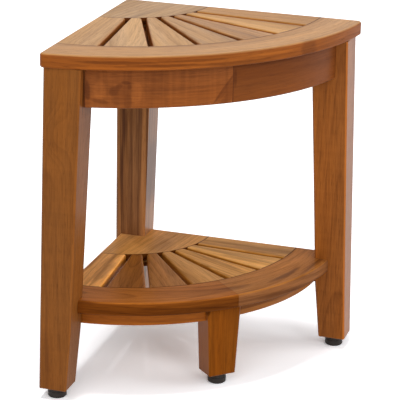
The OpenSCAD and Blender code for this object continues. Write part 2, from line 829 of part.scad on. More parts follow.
// Pad that stays on the floor: it holds the stud's flange, which turns in it
module foot_pad(i) {
    color(plastic_black) at_foot(i) difference() {
        rotate_extrude() polygon([[0, 0], [pad_d / 2 - foot_round, 0],
            [pad_d / 2, foot_round], [pad_d / 2, pad_h - foot_round / 3],
            [pad_d / 2 - foot_round / 3, pad_h], [0, pad_h]]);
        translate([0, 0, pad_floor])
            cylinder(h = flange_h + end_gap, r = flange_d / 2 + run_gap);
        translate([0, 0, pad_floor + 1]) cylinder(h = pad_h, r = stud_d / 2 + run_gap);
    }
}

// Ring moulded on the stud, turned by hand
module foot_ring(i) {
    h = foot_h - pad_h - 2 * end_gap;
    color(plastic_black) at_foot(i) translate([0, 0, pad_h + end_gap]) difference() {
        cylinder(h = h, r = ring_d / 2);
        translate([0, 0, -1]) cylinder(h = h + 2, r = stud_d / 2 + hole_gap / 2);
        for (k = [1:scallop_count]) rotate(k * 360 / scallop_count)
            translate([ring_d / 2 + scallop_r - scallop_depth, 0, -1])
                cylinder(h = h + 2, r = scallop_r);
    }
}

// Levelling stud with the flange that its pad holds
module foot_stud(i) {
    z = pad_floor + end_gap / 2;
    color(steel) at_foot(i) {
        translate([0, 0, z]) cylinder(h = flange_h, r = flange_d / 2);
        translate([0, 0, z]) cylinder(h = foot_h + stud_in - z, r = stud_d / 2);
    }
}

// Threaded inserts in the legs' lower ends
module foot_inserts() {
    color(brass) for (i = [0:3]) at_foot(i) translate([0, 0, foot_h]) difference() {
        cylinder(h = insert_l, r = insert_d / 2);
        translate([0, 0, -1]) cylinder(h = insert_l + 2, r = stud_d / 2 + run_gap);
    }
}

// The sub-parts
module seat_corner_board() { color(teak_seat) fitted(SEAT) corner_board(SEAT); }
module seat_slat(k) { color(teak_seat) fitted(SEAT) slat(SEAT, k); }
module seat_front_board() { color(teak_edge) fitted(SEAT) front_board(SEAT); }
module seat_apron_half(right) { color(teak_dark) handed(right) seat_apron(); }
module seat_rail_side(right) {
    color(teak_hidden) handed(right)
        rail(seat_rail, seat_screw_at, 0, seat_screw_grip, false);
}
module shelf_corner_board() { color(teak_shelf) fitted(SHELF) corner_board(SHELF); }
module shelf_slat(k) { color(teak_shelf) fitted(SHELF) slat(SHELF, k); }
module shelf_front_board(right) { color(teak_edge) shelf_board_half(right); }
module shelf_apron_half(right) { color(teak_edge) handed(right) shelf_apron(); }
module shelf_rail_side(right) {
    color(teak_hidden) handed(right)
        rail(shelf_rail, shelf_screw_at, shelf_offset, shelf_screw_grip, true);
}
module leg_back() { color(teak_dark) back_leg(); }
module leg_side(right) { color(teak_leg) handed(right) side_leg(); }
module leg_middle() { color(teak_leg) middle_leg(); }
module apron_dowels() { color(teak_hidden) apron_dowel_set(); }
module shelf_board_dowels() { color(teak_hidden) board_dowel_set(); }
module seat_screws() { color(steel) at_screws(SEAT) screw(seat_screw_grip); }
module shelf_screws() { color(steel) at_screws(SHELF) screw(shelf_screw_grip); }

seat_corner_board();
seat_slat(1);  // seat_slat_1
seat_slat(2);  // seat_slat_2
seat_slat(3);  // seat_slat_3
seat_slat(4);  // seat_slat_4
seat_slat(5);  // seat_slat_5
seat_slat(6);  // seat_slat_6
seat_slat(7);  // seat_slat_7
seat_front_board();
seat_apron_half(false);  // seat_apron_left
seat_apron_half(true);  // seat_apron_right
seat_rail_side(false);  // seat_rail_left
seat_rail_side(true);  // seat_rail_right
shelf_corner_board();
shelf_slat(1);  // shelf_slat_1
shelf_slat(2);  // shelf_slat_2
shelf_slat(3);  // shelf_slat_3
shelf_slat(4);  // shelf_slat_4
shelf_slat(5);  // shelf_slat_5
shelf_slat(6);  // shelf_slat_6
shelf_slat(7);  // shelf_slat_7
shelf_front_board(false);  // shelf_front_board_left
shelf_front_board(true);  // shelf_front_board_right
shelf_apron_half(false);  // shelf_apron_left
shelf_apron_half(true);  // shelf_apron_right
shelf_rail_side(false);  // shelf_rail_left
shelf_rail_side(true);  // shelf_rail_right
leg_back();
leg_side(false);  // leg_left
leg_side(true);  // leg_right
leg_middle();
apron_dowels();
shelf_board_dowels();
seat_screws();
shelf_screws();
foot_inserts();
foot_pad(0);  // foot_pad_back
foot_pad(1);  // foot_pad_left
foot_pad(2);  // foot_pad_right
foot_pad(3);  // foot_pad_middle
foot_ring(0);  // foot_ring_back
foot_ring(1);  // foot_ring_left
foot_ring(2);  // foot_ring_right
foot_ring(3);  // foot_ring_middle
foot_stud(0);  // foot_stud_back
foot_stud(1);  // foot_stud_left
foot_stud(2);  // foot_stud_right
foot_stud(3);  // foot_stud_middle
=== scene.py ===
import json
import math

import bmesh
import bpy
from mathutils import Matrix, Vector

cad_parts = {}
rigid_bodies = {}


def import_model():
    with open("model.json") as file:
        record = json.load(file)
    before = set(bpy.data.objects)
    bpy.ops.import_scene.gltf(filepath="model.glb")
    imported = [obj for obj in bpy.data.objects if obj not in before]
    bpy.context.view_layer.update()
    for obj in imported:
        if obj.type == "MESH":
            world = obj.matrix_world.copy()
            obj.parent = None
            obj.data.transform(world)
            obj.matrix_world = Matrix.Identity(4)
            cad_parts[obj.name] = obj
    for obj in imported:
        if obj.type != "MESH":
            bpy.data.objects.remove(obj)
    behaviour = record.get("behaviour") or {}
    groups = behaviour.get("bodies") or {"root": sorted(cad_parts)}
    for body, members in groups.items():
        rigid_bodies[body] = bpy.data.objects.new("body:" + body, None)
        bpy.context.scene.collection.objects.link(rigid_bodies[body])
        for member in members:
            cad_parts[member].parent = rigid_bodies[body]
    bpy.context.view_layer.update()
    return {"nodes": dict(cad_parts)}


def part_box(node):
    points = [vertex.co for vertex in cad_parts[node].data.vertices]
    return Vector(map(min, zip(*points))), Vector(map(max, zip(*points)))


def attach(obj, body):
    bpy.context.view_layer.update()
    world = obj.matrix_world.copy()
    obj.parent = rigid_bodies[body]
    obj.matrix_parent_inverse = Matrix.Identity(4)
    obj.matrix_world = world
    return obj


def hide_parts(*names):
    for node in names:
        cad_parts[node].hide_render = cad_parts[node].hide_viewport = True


# start from an empty scene
for leftover in list(bpy.data.objects):
    bpy.data.objects.remove(leftover)

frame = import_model()
cadNodes = frame["nodes"]

# directions on the bench; its two straight sides run forwards from the back corner
diagonal = math.sqrt(0.5)
alongLeft = Vector((-diagonal, -diagonal, 0))
alongRight = Vector((diagonal, -diagonal, 0))
upward = Vector((0, 0, 1))
sideways = Vector((1, 0, 0))
forward = Vector((0, -1, 0))

# the curves that the boards are sawn and joined along: centre's Y and radius
curves = {
    "seatEdge": (0.19921, 0.35612),
    "seatFrontJoint": (0.17764, 0.28455),
    "seatCornerJoint": (0.16679, 0.12169),
    "shelfEdge": (0.14085, 0.29475),
    "shelfFrontJoint": (0.15304, 0.24995),
    "shelfCornerJoint": (0.14936, 0.12232),
}

number, colour, vector = "NodeSocketFloat", "NodeSocketColor", "NodeSocketVector"
# sockets of the Mix node: first value, second value, result
mixSockets = {"FLOAT": (2, 3, 0), "VECTOR": (4, 5, 1), "RGBA": (6, 7, 2)}


# small helpers for node trees
def addNode(tree, kind, **settings):
    node = tree.nodes.new(kind)
    for key, value in settings.items():
        setattr(node, key, value)
    return node


def feed(tree, socket, value):
    if isinstance(value, bpy.types.NodeSocket):
        tree.links.new(value, socket)
    elif value is not None:
        socket.default_value = value


def calc(tree, operation, *values, clamp=False):
    node = addNode(tree, "ShaderNodeMath", operation=operation, use_clamp=clamp)
    for socket, value in zip(node.inputs, values):
        feed(tree, socket, value)
    return node.outputs[0]


def vectorCalc(tree, operation, *values):
    node = addNode(tree, "ShaderNodeVectorMath", operation=operation)
    for socket, value in zip(node.inputs, values):
        feed(tree, socket, value)
    return node.outputs[0]


def apart(tree, place):
    node = addNode(tree, "ShaderNodeSeparateXYZ")
    feed(tree, node.inputs[0], place)
    return node.outputs


def together(tree, x, y, z):
    node = addNode(tree, "ShaderNodeCombineXYZ")
    for socket, value in zip(node.inputs, (x, y, z)):
        feed(tree, socket, value)
    return node.outputs[0]


def between(tree, value, low, high):
    node = addNode(tree, "ShaderNodeMapRange", interpolation_type="SMOOTHSTEP")
    feed(tree, node.inputs["Value"], value)
    feed(tree, node.inputs["From Min"], low)
    feed(tree, node.inputs["From Max"], high)
    return node.outputs["Result"]


def mix(tree, kind, share, first, second, blend="MIX"):
    node = addNode(tree, "ShaderNodeMix", data_type=kind, blend_type=blend)
    firstSocket, secondSocket, result = mixSockets[kind]
    feed(tree, node.inputs[0], share)
    feed(tree, node.inputs[firstSocket], first)
    feed(tree, node.inputs[secondSocket], second)
    return node.outputs[result]


def tinted(tree, color, tint):
    return mix(tree, "RGBA", 1.0, color, tint, "MULTIPLY")


def squares(tree, a, b):
    return calc(tree, "ADD", calc(tree, "MULTIPLY", a, a), calc(tree, "MULTIPLY", b, b))


def swayed(tree, value, amount, base, middle=0.5):
    # the base, moved as the value moves off its middle
    return calc(tree, "MULTIPLY_ADD", calc(tree, "SUBTRACT", value, middle), amount, base)


def noise(tree, place, stretch, offset, detail=2):
    # noise stretched along the board, in its own part of the noise field
    node = addNode(tree, "ShaderNodeTexNoise")
    feed(tree, node.inputs["Vector"], vectorCalc(tree, "MULTIPLY_ADD", place, stretch, offset))
    feed(tree, node.inputs["Scale"], 1.0)
    feed(tree, node.inputs["Detail"], detail)
    return node


def newGroup(name, inputs, outputs, kind="ShaderNodeTree"):
    tree = bpy.data.node_groups.new(name, kind)
    for label, socketKind, value in inputs:
        socket = tree.interface.new_socket(label, in_out="INPUT", socket_type=socketKind)
        if value is not None:
            socket.default_value = value
    for label, socketKind in outputs:
        tree.interface.new_socket(label, in_out="OUTPUT", socket_type=socketKind)
    return tree, addNode(tree, "NodeGroupInput").outputs, addNode(tree, "NodeGroupOutput").inputs


def useGroup(tree, group, values):
    node = addNode(tree, "ShaderNodeGroup", node_tree=group)
    for label, value in values.items():
        feed(tree, node.inputs[label], value)
    return node.outputs


def socketLabel(key):
    # pithAcross is the input "Pith Across"
    return "".join(" " + letter if letter.isupper() else letter for letter in key).title()


def newMaterial(name):
    material = bpy.data.materials.new(name)
    material.use_nodes = True
    material.node_tree.nodes.clear()
    return material, material.node_tree


def addRelief(tree, shader, height, strength, distance):
    bump = addNode(tree, "ShaderNodeBump")
    feed(tree, bump.inputs["Strength"], strength)
    feed(tree, bump.inputs["Distance"], distance)
    feed(tree, bump.inputs["Height"], height)
    feed(tree, shader.inputs["Normal"], bump.outputs[0])


def showSurface(tree, shader, kind="ShaderNodeOutputMaterial"):
    feed(tree, addNode(tree, kind).inputs["Surface"], shader.outputs[0])


# teak: growth rings, bands, veins and pores, seen along each board's own grain
seedSteps = (7.31, 3.17, 5.73)
warmthOffset = (9.1, 2.3, 4.9)
# stretch of the noise along, across and through the board, its detail, and the range that shows
figurePatterns = {
    "warp": ((3.5, 15, 15), 2, None),
    "band": ((1.2, 21, 21), 3, (0.3, 0.7)),
    "veinLine": ((2.6, 95, 95), 2, (0.55, 0.67)),
    "veinPatch": ((2.2, 13, 13), 1, (0.46, 0.62)),
    "fibre": ((22, 480, 480), 3, None),
    "pore": ((60, 1500, 1500), 1, (0.6, 0.7)),
    "ribbon": ((150, 7, 7), 2, None),
    "warmth": ((4, 34, 34), 2, (0.3, 0.7)),
    "ragged": ((60, 130, 130), 2, None),
}
ringShape = {
    "unevenStep": 0.33,  # how soon the gap between rings changes
    "uneven": 2.6,  # by how many rings it may change
    "darkening": 2.6,  # a ring darkens slowly outwards
    "end": (1.0, 0.86),  # and then ends fast
    "middle": 0.22,
    "relief": -0.25,
}
eyeStretch = 1.7  # an eye is this much longer along the grain than across
toneShape = {"base": 0.45, "fibre": 0.95, "poreRelief": -0.6}
markFade = (1.5, 0.3)  # squared distance, in the mark's own size, at which it ends and is full
markRagged = 4.0  # how far a ragged edge may move that distance
markOffset = (3.1, 1.7, 0.4)
jointFade = (1.3, 0.3)  # distance from the joint, in widths


def pattern(tree, name, place, offset, output="Fac"):
    stretch, detail, shown = figurePatterns[name]
    field = noise(tree, place, stretch, offset, detail).outputs[output]
    return between(tree, field, *shown) if shown else field


def arcParts(tree, place, centreY):
    # X, the distance ahead of the arc's centre, the distance from that centre, and Z
    x, y, z = apart(tree, place)
    ahead = calc(tree, "SUBTRACT", centreY, y)
    return x, ahead, calc(tree, "SQRT", squares(tree, x, ahead)), z


def buildAlongArc():
    # straightens a curved board: X along the curve, Y inwards from it
    tree, given, made = newGroup("alongArc", [
        ("Vector", vector, None), ("Centre Y", number, 0.2), ("Radius", number, 0.35),
    ], [("Vector", vector)])
    x, ahead, out, z = arcParts(tree, given["Vector"], given["Centre Y"])
    run = calc(tree, "MULTIPLY", calc(tree, "ARCTAN2", x, ahead), given["Radius"])
    inwards = calc(tree, "SUBTRACT", given["Radius"], out)
    feed(tree, made["Vector"], together(tree, run, inwards, z))
    return tree


def buildSoftMark():
    # a single dark or pale patch in a board, such as a knot, a streak, painted shade or a painted
    # sheen
    tree, given, made = newGroup("softMark", [
        ("Vector", vector, None), ("Place", vector, None), ("Length", number, 0.02),
        ("Width", number, 0.005), ("Depth", number, 1.0), ("Slant", number, 0.0),
        ("Ragged", number, 0.4),
    ], [("Mask", number)])
    x, y, z = apart(tree, vectorCalc(tree, "SUBTRACT", given["Vector"], given["Place"]))
    cosine, sine = calc(tree, "COSINE", given["Slant"]), calc(tree, "SINE", given["Slant"])
    run = calc(tree, "ADD", calc(tree, "MULTIPLY", x, cosine), calc(tree, "MULTIPLY", y, sine))
    side = calc(tree, "SUBTRACT", calc(tree, "MULTIPLY", y, cosine),
                calc(tree, "MULTIPLY", x, sine))
    run = calc(tree, "DIVIDE", run, given["Length"])
    side = calc(tree, "DIVIDE", side, given["Width"])
    deep = calc(tree, "DIVIDE", z, given["Depth"])
    reach = calc(tree, "MULTIPLY_ADD", deep, deep, squares(tree, run, side))
    rough = pattern(tree, "ragged", given["Vector"], markOffset)
    reach = swayed(tree, rough, calc(tree, "MULTIPLY", given["Ragged"], markRagged), reach)
    feed(tree, made["Mask"], between(tree, reach, *markFade))
    return tree


def buildJointShade():
    # dirt and shade in the fine line where two boards meet along a curve
    tree, given, made = newGroup("jointShade", [
        ("Vector", vector, None), ("Centre Y", number, 0.2), ("Radius", number, 0.35),
        ("Width", number, 0.0011),
    ], [("Mask", number)])
    out = arcParts(tree, given["Vector"], given["Centre Y"])[2]
    off = calc(tree, "ABSOLUTE", calc(tree, "SUBTRACT", out, given["Radius"]))
    feed(tree, made["Mask"], between(tree, calc(tree, "DIVIDE", off, given["Width"]), *jointFade))
    return tree


def buildTeakFigure():
    tree, given, made = newGroup("teakFigure", [
        ("Vector", vector, None),
        ("Seed", number, 0.0),
        ("Ring Gap", number, 0.005),
        ("Pith Across", number, 0.0),
        ("Pith Below", number, 0.06),
        ("Taper", number, 0.0),
        ("Wander", number, 0.004),
        ("Bands", number, 0.5),
        ("Rings", number, 0.4),
        ("Veins", number, 0.4),
        ("Ribbon", number, 0.0),
        ("Eye Along", number, 0.0),
        ("Eye Across", number, 0.0),
        ("Eye Size", number, 0.02),
        ("Eye Lift", number, 0.0),
    ], [(label, number) for label in ("Tone", "Vein", "Pore", "Warmth", "Relief")])
    offset = together(tree, *[calc(tree, "MULTIPLY", given["Seed"], step) for step in seedSteps])

    # the fibres wander off the straight
    warp = apart(tree, pattern(tree, "warp", given["Vector"], offset, "Color"))
    x, y, z = apart(tree, given["Vector"])
    swing = calc(tree, "MULTIPLY", given["Wander"], 2.0)
    y, z = swayed(tree, warp[0], swing, y), swayed(tree, warp[1], swing, z)
    straight = together(tree, x, y, z)

    # an eye lifts the rings round it, as over a branch
    eyeX = calc(tree, "DIVIDE", calc(tree, "SUBTRACT", x, given["Eye Along"]), given["Eye Size"])
    eyeY = calc(tree, "DIVIDE", calc(tree, "SUBTRACT", y, given["Eye Across"]), given["Eye Size"])
    eyeY = calc(tree, "MULTIPLY", eyeY, eyeStretch)
    eye = calc(tree, "EXPONENT", calc(tree, "MULTIPLY", squares(tree, eyeX, eyeY), -1.0))

    # growth rings about the pith
    across = calc(tree, "SUBTRACT", y, given["Pith Across"])
    below = calc(tree, "ADD", z, given["Pith Below"])
    radius = calc(tree, "SQRT", squares(tree, across, below))
    radius = calc(tree, "MULTIPLY_ADD", x, given["Taper"], radius)
    radius = calc(tree, "MULTIPLY_ADD", eye, given["Eye Lift"], radius)
    count = calc(tree, "DIVIDE", radius, given["Ring Gap"])
    uneven = addNode(tree, "ShaderNodeTexNoise", noise_dimensions="2D")
    step = calc(tree, "MULTIPLY", count, ringShape["unevenStep"])
    feed(tree, uneven.inputs["Vector"], together(tree, step, given["Seed"], None))
    feed(tree, uneven.inputs["Scale"], 1.0)
    share = calc(tree, "FRACT", swayed(tree, uneven.outputs["Fac"], ringShape["uneven"], count))
    ring = calc(tree, "MULTIPLY", calc(tree, "POWER", share, ringShape["darkening"]),
                between(tree, share, *ringShape["end"]))

    # dark veins come in patches
    vein = calc(tree, "MULTIPLY", pattern(tree, "veinLine", straight, offset),
                pattern(tree, "veinPatch", straight, offset))
    feed(tree, made["Vein"], calc(tree, "MULTIPLY", vein, given["Veins"], clamp=True))

    # tone: broad bands, rings, fine fibres, and ribbons across the grain
    fibre, pore = [pattern(tree, name, straight, offset) for name in ("fibre", "pore")]
    tone = swayed(tree, pattern(tree, "band", straight, offset), given["Bands"], toneShape["base"])
    tone = swayed(tree, ring, given["Rings"], tone, ringShape["middle"])
    tone = swayed(tree, fibre, toneShape["fibre"], tone)
    tone = swayed(tree, pattern(tree, "ribbon", straight, offset), given["Ribbon"], tone)
    feed(tree, made["Tone"], tone)
    feed(tree, made["Pore"], pore)
    warmOffset = vectorCalc(tree, "ADD", offset, warmthOffset)
    feed(tree, made["Warmth"], pattern(tree, "warmth", straight, warmOffset))
    relief = calc(tree, "MULTIPLY_ADD", pore, toneShape["poreRelief"], fibre)
    feed(tree, made["Relief"], calc(tree, "MULTIPLY_ADD", ring, ringShape["relief"], relief))
    return tree


finishTints = {
    "cool": (0.96, 0.99, 1.1, 1),
    "warm": (1.04, 1.01, 0.9, 1),
    "light": (1.42, 1.4, 1.36, 1),
    "deep": (0.42, 0.34, 0.28, 1),
    "dark": (0.26, 0.19, 0.19, 1),
    # tint of the painted highlight on the legs' front arrises
    "paintedHighlight": (1.9, 1.7, 1.3, 1),
}
finishSettings = {
    "topFacing": (0.35, 0.95),  # upward part of the normal, from edge tint to top tint
    "arrisFacing": (-0.93, -0.99),  # Y of the normal at the legs' front arrises
    "poreShade": 0.35,
    "jointShade": 0.85,
    "roughness": 0.36, "toneRoughness": 0.1, "poreRoughness": 0.15,
    "filmBlend": 0.5, "filmFacing": (0.3, 0.8), "filmRoughness": 0.42, "filmIor": 1.5,
    "reliefStrength": 0.25, "reliefHeight": 0.0003,
}


def buildOilFinish():
    # tint of the boards, with painted light: faces that point up take a paler tint, a painted sheen
    # from above, and the sides a deeper one
    tree, given, made = newGroup("oilFinish", [
        ("Top Tint", colour, (0.5, 0.3, 0.15, 1)),
        ("Edge Tint", colour, (0.3, 0.1, 0.03, 1)),
        ("Contrast", number, 1.0),
        ("Arris Highlight", number, 0.0),
        ("Tone", number, 0.5),
        ("Vein", number, 0.0),
        ("Pore", number, 0.0),
        ("Warmth", number, 0.5),
    ], [("Color", colour), ("Roughness", number)])
    normal = apart(tree, addNode(tree, "ShaderNodeNewGeometry").outputs["Normal"])
    # painted sheen: the paler top tint goes on faces that point up, the deeper tint on the sides
    paintedTopSheen = between(tree, normal[2], *finishSettings["topFacing"])
    tint = mix(tree, "RGBA", paintedTopSheen, given["Edge Tint"], given["Top Tint"])
    warmth = mix(tree, "RGBA", given["Warmth"], finishTints["cool"], finishTints["warm"])
    tint = tinted(tree, tint, warmth)
    light, deep, dark, paintedHighlight = [tinted(tree, tint, finishTints[name])
                                 for name in ("light", "deep", "dark", "paintedHighlight")]
    lift = calc(tree, "MULTIPLY", calc(tree, "SUBTRACT", 0.5, given["Tone"]), given["Contrast"])
    toned = mix(tree, "RGBA", calc(tree, "SUBTRACT", 0.5, lift, clamp=True), light, deep)
    veined = mix(tree, "RGBA", given["Vein"], toned, dark)
    poreShare = calc(tree, "MULTIPLY", given["Pore"], finishSettings["poreShade"])
    pored = mix(tree, "RGBA", poreShare, veined, dark)
    # painted highlight: the faces of the legs' front arrises that point forward are painted
    # brighter
    arris = between(tree, normal[1], *finishSettings["arrisFacing"])
    arris = calc(tree, "MULTIPLY", arris, given["Arris Highlight"])
    feed(tree, made["Color"], mix(tree, "RGBA", arris, pored, paintedHighlight))
    rough = calc(tree, "MULTIPLY_ADD", given["Tone"], finishSettings["toneRoughness"],
                 finishSettings["roughness"])
    feed(tree, made["Roughness"],
         calc(tree, "MULTIPLY_ADD", given["Pore"], finishSettings["poreRoughness"], rough))
    return tree


alongArc = buildAlongArc()
softMark = buildSoftMark()
jointShade = buildJointShade()
teakFigure = buildTeakFigure()
oilFinish = buildOilFinish()


def arcPlace(point, curve):
    # the same straightening as in alongArc, for one point
    centreY, radius = curve
    x, y, z = point
    ahead = centreY - y
    return Vector((math.atan2(x, ahead) * radius, radius - math.hypot(x, ahead), z))


def onCurve(place, curve):
    # what alongArc and jointShade are given
    return dict(zip(("Vector", "Centre Y", "Radius"), (place, *curve)))


def boardAxes(along, facing):
    # a board's own axes as columns: X along the grain, Z out of the face
    x = along.normalized()
    z = (facing - x * facing.dot(x)).normalized()
    return Matrix((x, z.cross(x), z)).transposed()


def teakMaterial(name, look):
    material, tree = newMaterial(name)
    place = source = addNode(tree, "ShaderNodeTexCoord").outputs["Object"]
    centre, axes = Vector(look["centre"]), boardAxes(look["along"], look["facing"])
    if look["curve"]:
        centre = arcPlace(centre, look["curve"])
        source = useGroup(tree, alongArc, onCurve(place, look["curve"]))["Vector"]
    mapping = addNode(tree, "ShaderNodeMapping", vector_type="TEXTURE")
    feed(tree, mapping.inputs["Vector"], source)
    feed(tree, mapping.inputs["Location"], centre)
    feed(tree, mapping.inputs["Rotation"], axes.to_euler())
    board = mapping.outputs[0]
    wanted = {socketLabel(key): value for key, value in look["figure"].items()}
    figure = useGroup(tree, teakFigure, {"Vector": board, **wanted})
    tone, vein = figure["Tone"], figure["Vein"]
    for patch in look["marks"]:
        spot = arcPlace(patch["at"], look["curve"]) if look["curve"] else Vector(patch["at"])
        mask = useGroup(tree, softMark, {
            "Vector": board, "Place": axes.transposed() @ (spot - centre),
            "Length": patch["length"], "Width": patch["width"], "Depth": patch["depth"],
            "Slant": math.radians(patch["slant"]), "Ragged": patch["ragged"]})["Mask"]
        if patch["tone"]:
            tone = calc(tree, "MULTIPLY_ADD", mask, patch["tone"], tone)
        if patch["dark"]:
            vein = calc(tree, "MAXIMUM", vein, calc(tree, "MULTIPLY", mask, patch["dark"]))
    for joint in look["joints"]:
        mask = useGroup(tree, jointShade, onCurve(place, joint))["Mask"]
        mask = calc(tree, "MULTIPLY", mask, finishSettings["jointShade"])
        vein = calc(tree, "MAXIMUM", vein, mask)
    finish = useGroup(tree, oilFinish, {
        "Top Tint": (*look["top"], 1), "Edge Tint": (*look["edge"], 1),
        "Contrast": look["contrast"], "Arris Highlight": look["arris"], "Tone": tone, "Vein": vein,
        "Pore": figure["Pore"], "Warmth": figure["Warmth"]})
    shader = addNode(tree, "ShaderNodeBsdfPrincipled")
    feed(tree, shader.inputs["Base Color"], finish["Color"])
    feed(tree, shader.inputs["Roughness"], finish["Roughness"])
    feed(tree, shader.inputs["IOR"], look["ior"])
    # the oil film shows at a low angle only
    lowAngle = addNode(tree, "ShaderNodeLayerWeight")
    feed(tree, lowAngle.inputs["Blend"], finishSettings["filmBlend"])
    film = between(tree, lowAngle.outputs["Facing"], *finishSettings["filmFacing"])
    feed(tree, shader.inputs["Coat Weight"], calc(tree, "MULTIPLY", film, look["film"], clamp=True))
    feed(tree, shader.inputs["Coat Roughness"], finishSettings["filmRoughness"])
    feed(tree, shader.inputs["Coat IOR"], finishSettings["filmIor"])
    addRelief(tree, shader, figure["Relief"], finishSettings["reliefStrength"],
              finishSettings["reliefHeight"])
    showSurface(tree, shader)
    return material


def dress(node, material):
    piece = cadNodes[node]
    if not piece.material_slots:
        piece.data.materials.append(material)
    for slot in piece.material_slots:
        slot.material = material


def dressAll(looks):
    for node, look in looks.items():
        dress(node, teakMaterial(node.title().replace("_", ""), look))


def mark(at, length, width, depth=1.0, slant=0, ragged=0.4, tone=0.0, dark=0.0):
    # a streak, patch or stain in the wood, and also painted shade and painted sheen: a tone below 0
    # makes the wood paler, above 0 deeper, and dark darkens it
    return {"at": at, "length": length, "width": width, "depth": depth, "slant": slant,
            "ragged": ragged, "tone": tone, "dark": dark}


def makeLook(wood, centre, along, facing, curve=None, tint=None, top=None, edge=None, film=None,
             ior=None, contrast=1.0, marks=(), arris=0.0, **figure):
    # one board: its place and grain direction, its tints, and where its figure differs
    return {
        "centre": centre, "along": along, "facing": facing, "curve": curve, "marks": marks,
        "joints": wood["joints"], "arris": arris, "contrast": wood["contrast"] * contrast,
        "top": top or tint or wood["top"], "edge": edge or tint or wood["edge"],
        "film": film or wood["film"], "ior": ior or wood["ior"],
        "figure": {**wood["figure"], **figure},
    }


# the boards of the seat and the shelf
seatWood = {
    "edge": (0.33, 0.1, 0.014),
    "contrast": 0.75,
    "film": 0.12,
    "ior": 1.2,
    "joints": (curves["seatFrontJoint"], curves["seatCornerJoint"]),
    "figure": {"ringGap": 0.0055, "wander": 0.004, "bands": 0.45, "rings": 0.35, "veins": 0.3},
}
shelfWood = {
    "edge": (0.3, 0.1, 0.012),
    "contrast": 0.95,
    "film": 0.03,
    "ior": 1.1,
    "joints": (curves["shelfFrontJoint"], curves["shelfCornerJoint"]),
    "figure": {"ringGap": 0.006, "wander": 0.006, "bands": 0.6, "rings": 0.4, "veins": 0.6},
}
seatFan = {
    "height": 0.45, "start": (0, 0.1176), "pitch": 15.4, "outerPitch": 0.93, "reach": 0.14,
    "edge": (0.3, 0.095, 0.014), "seed": 1.7, "seedStep": 3.1,
    "tops": [(0.525, 0.285, 0.105), (0.505, 0.285, 0.115), (0.58, 0.325, 0.13),
             (0.48, 0.265, 0.11), (0.48, 0.25, 0.1), (0.57, 0.3, 0.095), (0.44, 0.22, 0.07)],
    "contrasts": [0.9, 1, 0.8, 1, 1, 0.9, 1],
    "pithAcross": [0.03, -0.012, 0.02, 0.05, -0.04, 0.01, -0.03],
    "pithBelow": [0.08, 0.03, 0.05, 0.09, 0.06, 0.045, 0.07],
    "taper": [0.01, 0.02, 0.03, 0.0, 0.015, 0.0, 0.02],
    "veins": [0.1, 0.3, 0.15, 0.4, 0.4, 0.1, 0.2],
    "marks": {},
}
# the shelf's top tints are partly painted light: set paler than the wood, to make up for the shade
# that the seat casts on the shelf
shelfFan = {
    "height": 0.129, "start": (0, 0.098), "pitch": 16.3, "outerPitch": 0.93, "reach": 0.14,
    "edge": (0.44, 0.17, 0.022), "seed": 12.7, "seedStep": 3.1,
    "tops": [(0.84, 0.385, 0.102), (0.252, 0.087, 0.015), (0.325, 0.126, 0.026),
             (0.58, 0.28, 0.079), (0.715, 0.357, 0.102), (0.98, 0.53, 0.172),
             (0.705, 0.362, 0.121)],
    "contrasts": [0.9, 1, 1, 0.8, 1, 0.6, 0.9],
    "pithAcross": [0.015, 0.0, 0.01, -0.05, 0.04, 0.02, -0.03],
    "pithBelow": [0.04, 0.022, 0.025, 0.08, 0.07, 0.05, 0.07],
    "taper": [0.03, 0.06, 0.05, 0.0, 0.01, 0.02, 0.02],
    "veins": [0.6, 0.7, 0.7, 0.3, 0.8, 0.4, 0.4],
    "marks": {  # by slat, counted from the left
        1: (mark((-0.1114, -0.0103, 0.129), 0.045, 0.0065, dark=0.45),
            mark((-0.077, 0.0162, 0.129), 0.05, 0.007, tone=-0.4)),
        5: (mark((0.045, -0.035, 0.129), 0.045, 0.004, dark=0.4),),
        6: (mark((0.0791, -0.0368, 0.129), 0.03, 0.004, dark=0.3),),
        7: (mark((0.13, -0.03, 0.129), 0.05, 0.006, dark=0.25),),
    },
}
for level, fan, wood in (("seat", seatFan, seatWood), ("shelf", shelfFan, shelfWood)):
    slats = len(fan["tops"])
    for k in range(slats):
        outer = k in (0, slats - 1)
        turn = math.radians((k - slats // 2) * fan["pitch"] * (fan["outerPitch"] if outer else 1))
        direction = Vector((math.sin(turn), -math.cos(turn), 0))
        middle = Vector((*fan["start"], fan["height"])) + direction * fan["reach"]
        own = {key: fan[key][k] for key in ("pithAcross", "pithBelow", "taper", "veins")}
        look = makeLook(wood, middle, direction, upward, top=fan["tops"][k], edge=fan["edge"],
                        contrast=fan["contrasts"][k], marks=fan["marks"].get(k + 1, ()),
                        seed=fan["seedStep"] * k + fan["seed"], **own)
        dress("%s_slat_%d" % (level, k + 1), teakMaterial("%sSlat%d" % (level, k + 1), look))

seatFrontMarks = (
    mark((0.109, -0.14, 0.441), 0.014, 0.006, dark=0.35),
    mark((-0.15, -0.124, 0.4425), 0.05, 0.01, depth=0.0022, dark=0.5),
    mark((-0.1, -0.1425, 0.439), 0.045, 0.01, depth=0.0015, dark=0.45),
    mark((-0.06, -0.151, 0.4435), 0.05, 0.01, depth=0.0016, dark=0.4),
    mark((-0.09, -0.145, 0.435), 0.06, 0.01, depth=0.0016, tone=-0.5),
    mark((-0.17, -0.114, 0.436), 0.03, 0.01, depth=0.002, tone=-0.4),
    mark((0.0, -0.1569, 0.437), 0.05, 0.01, depth=0.0018, dark=0.3),
    mark((0.05, -0.1533, 0.4425), 0.04, 0.01, depth=0.0018, tone=-0.35),
)
shelfCornerMarks = (mark((0.0, 0.065, 0.129), 0.04, 0.025, slant=60, tone=0.25),)
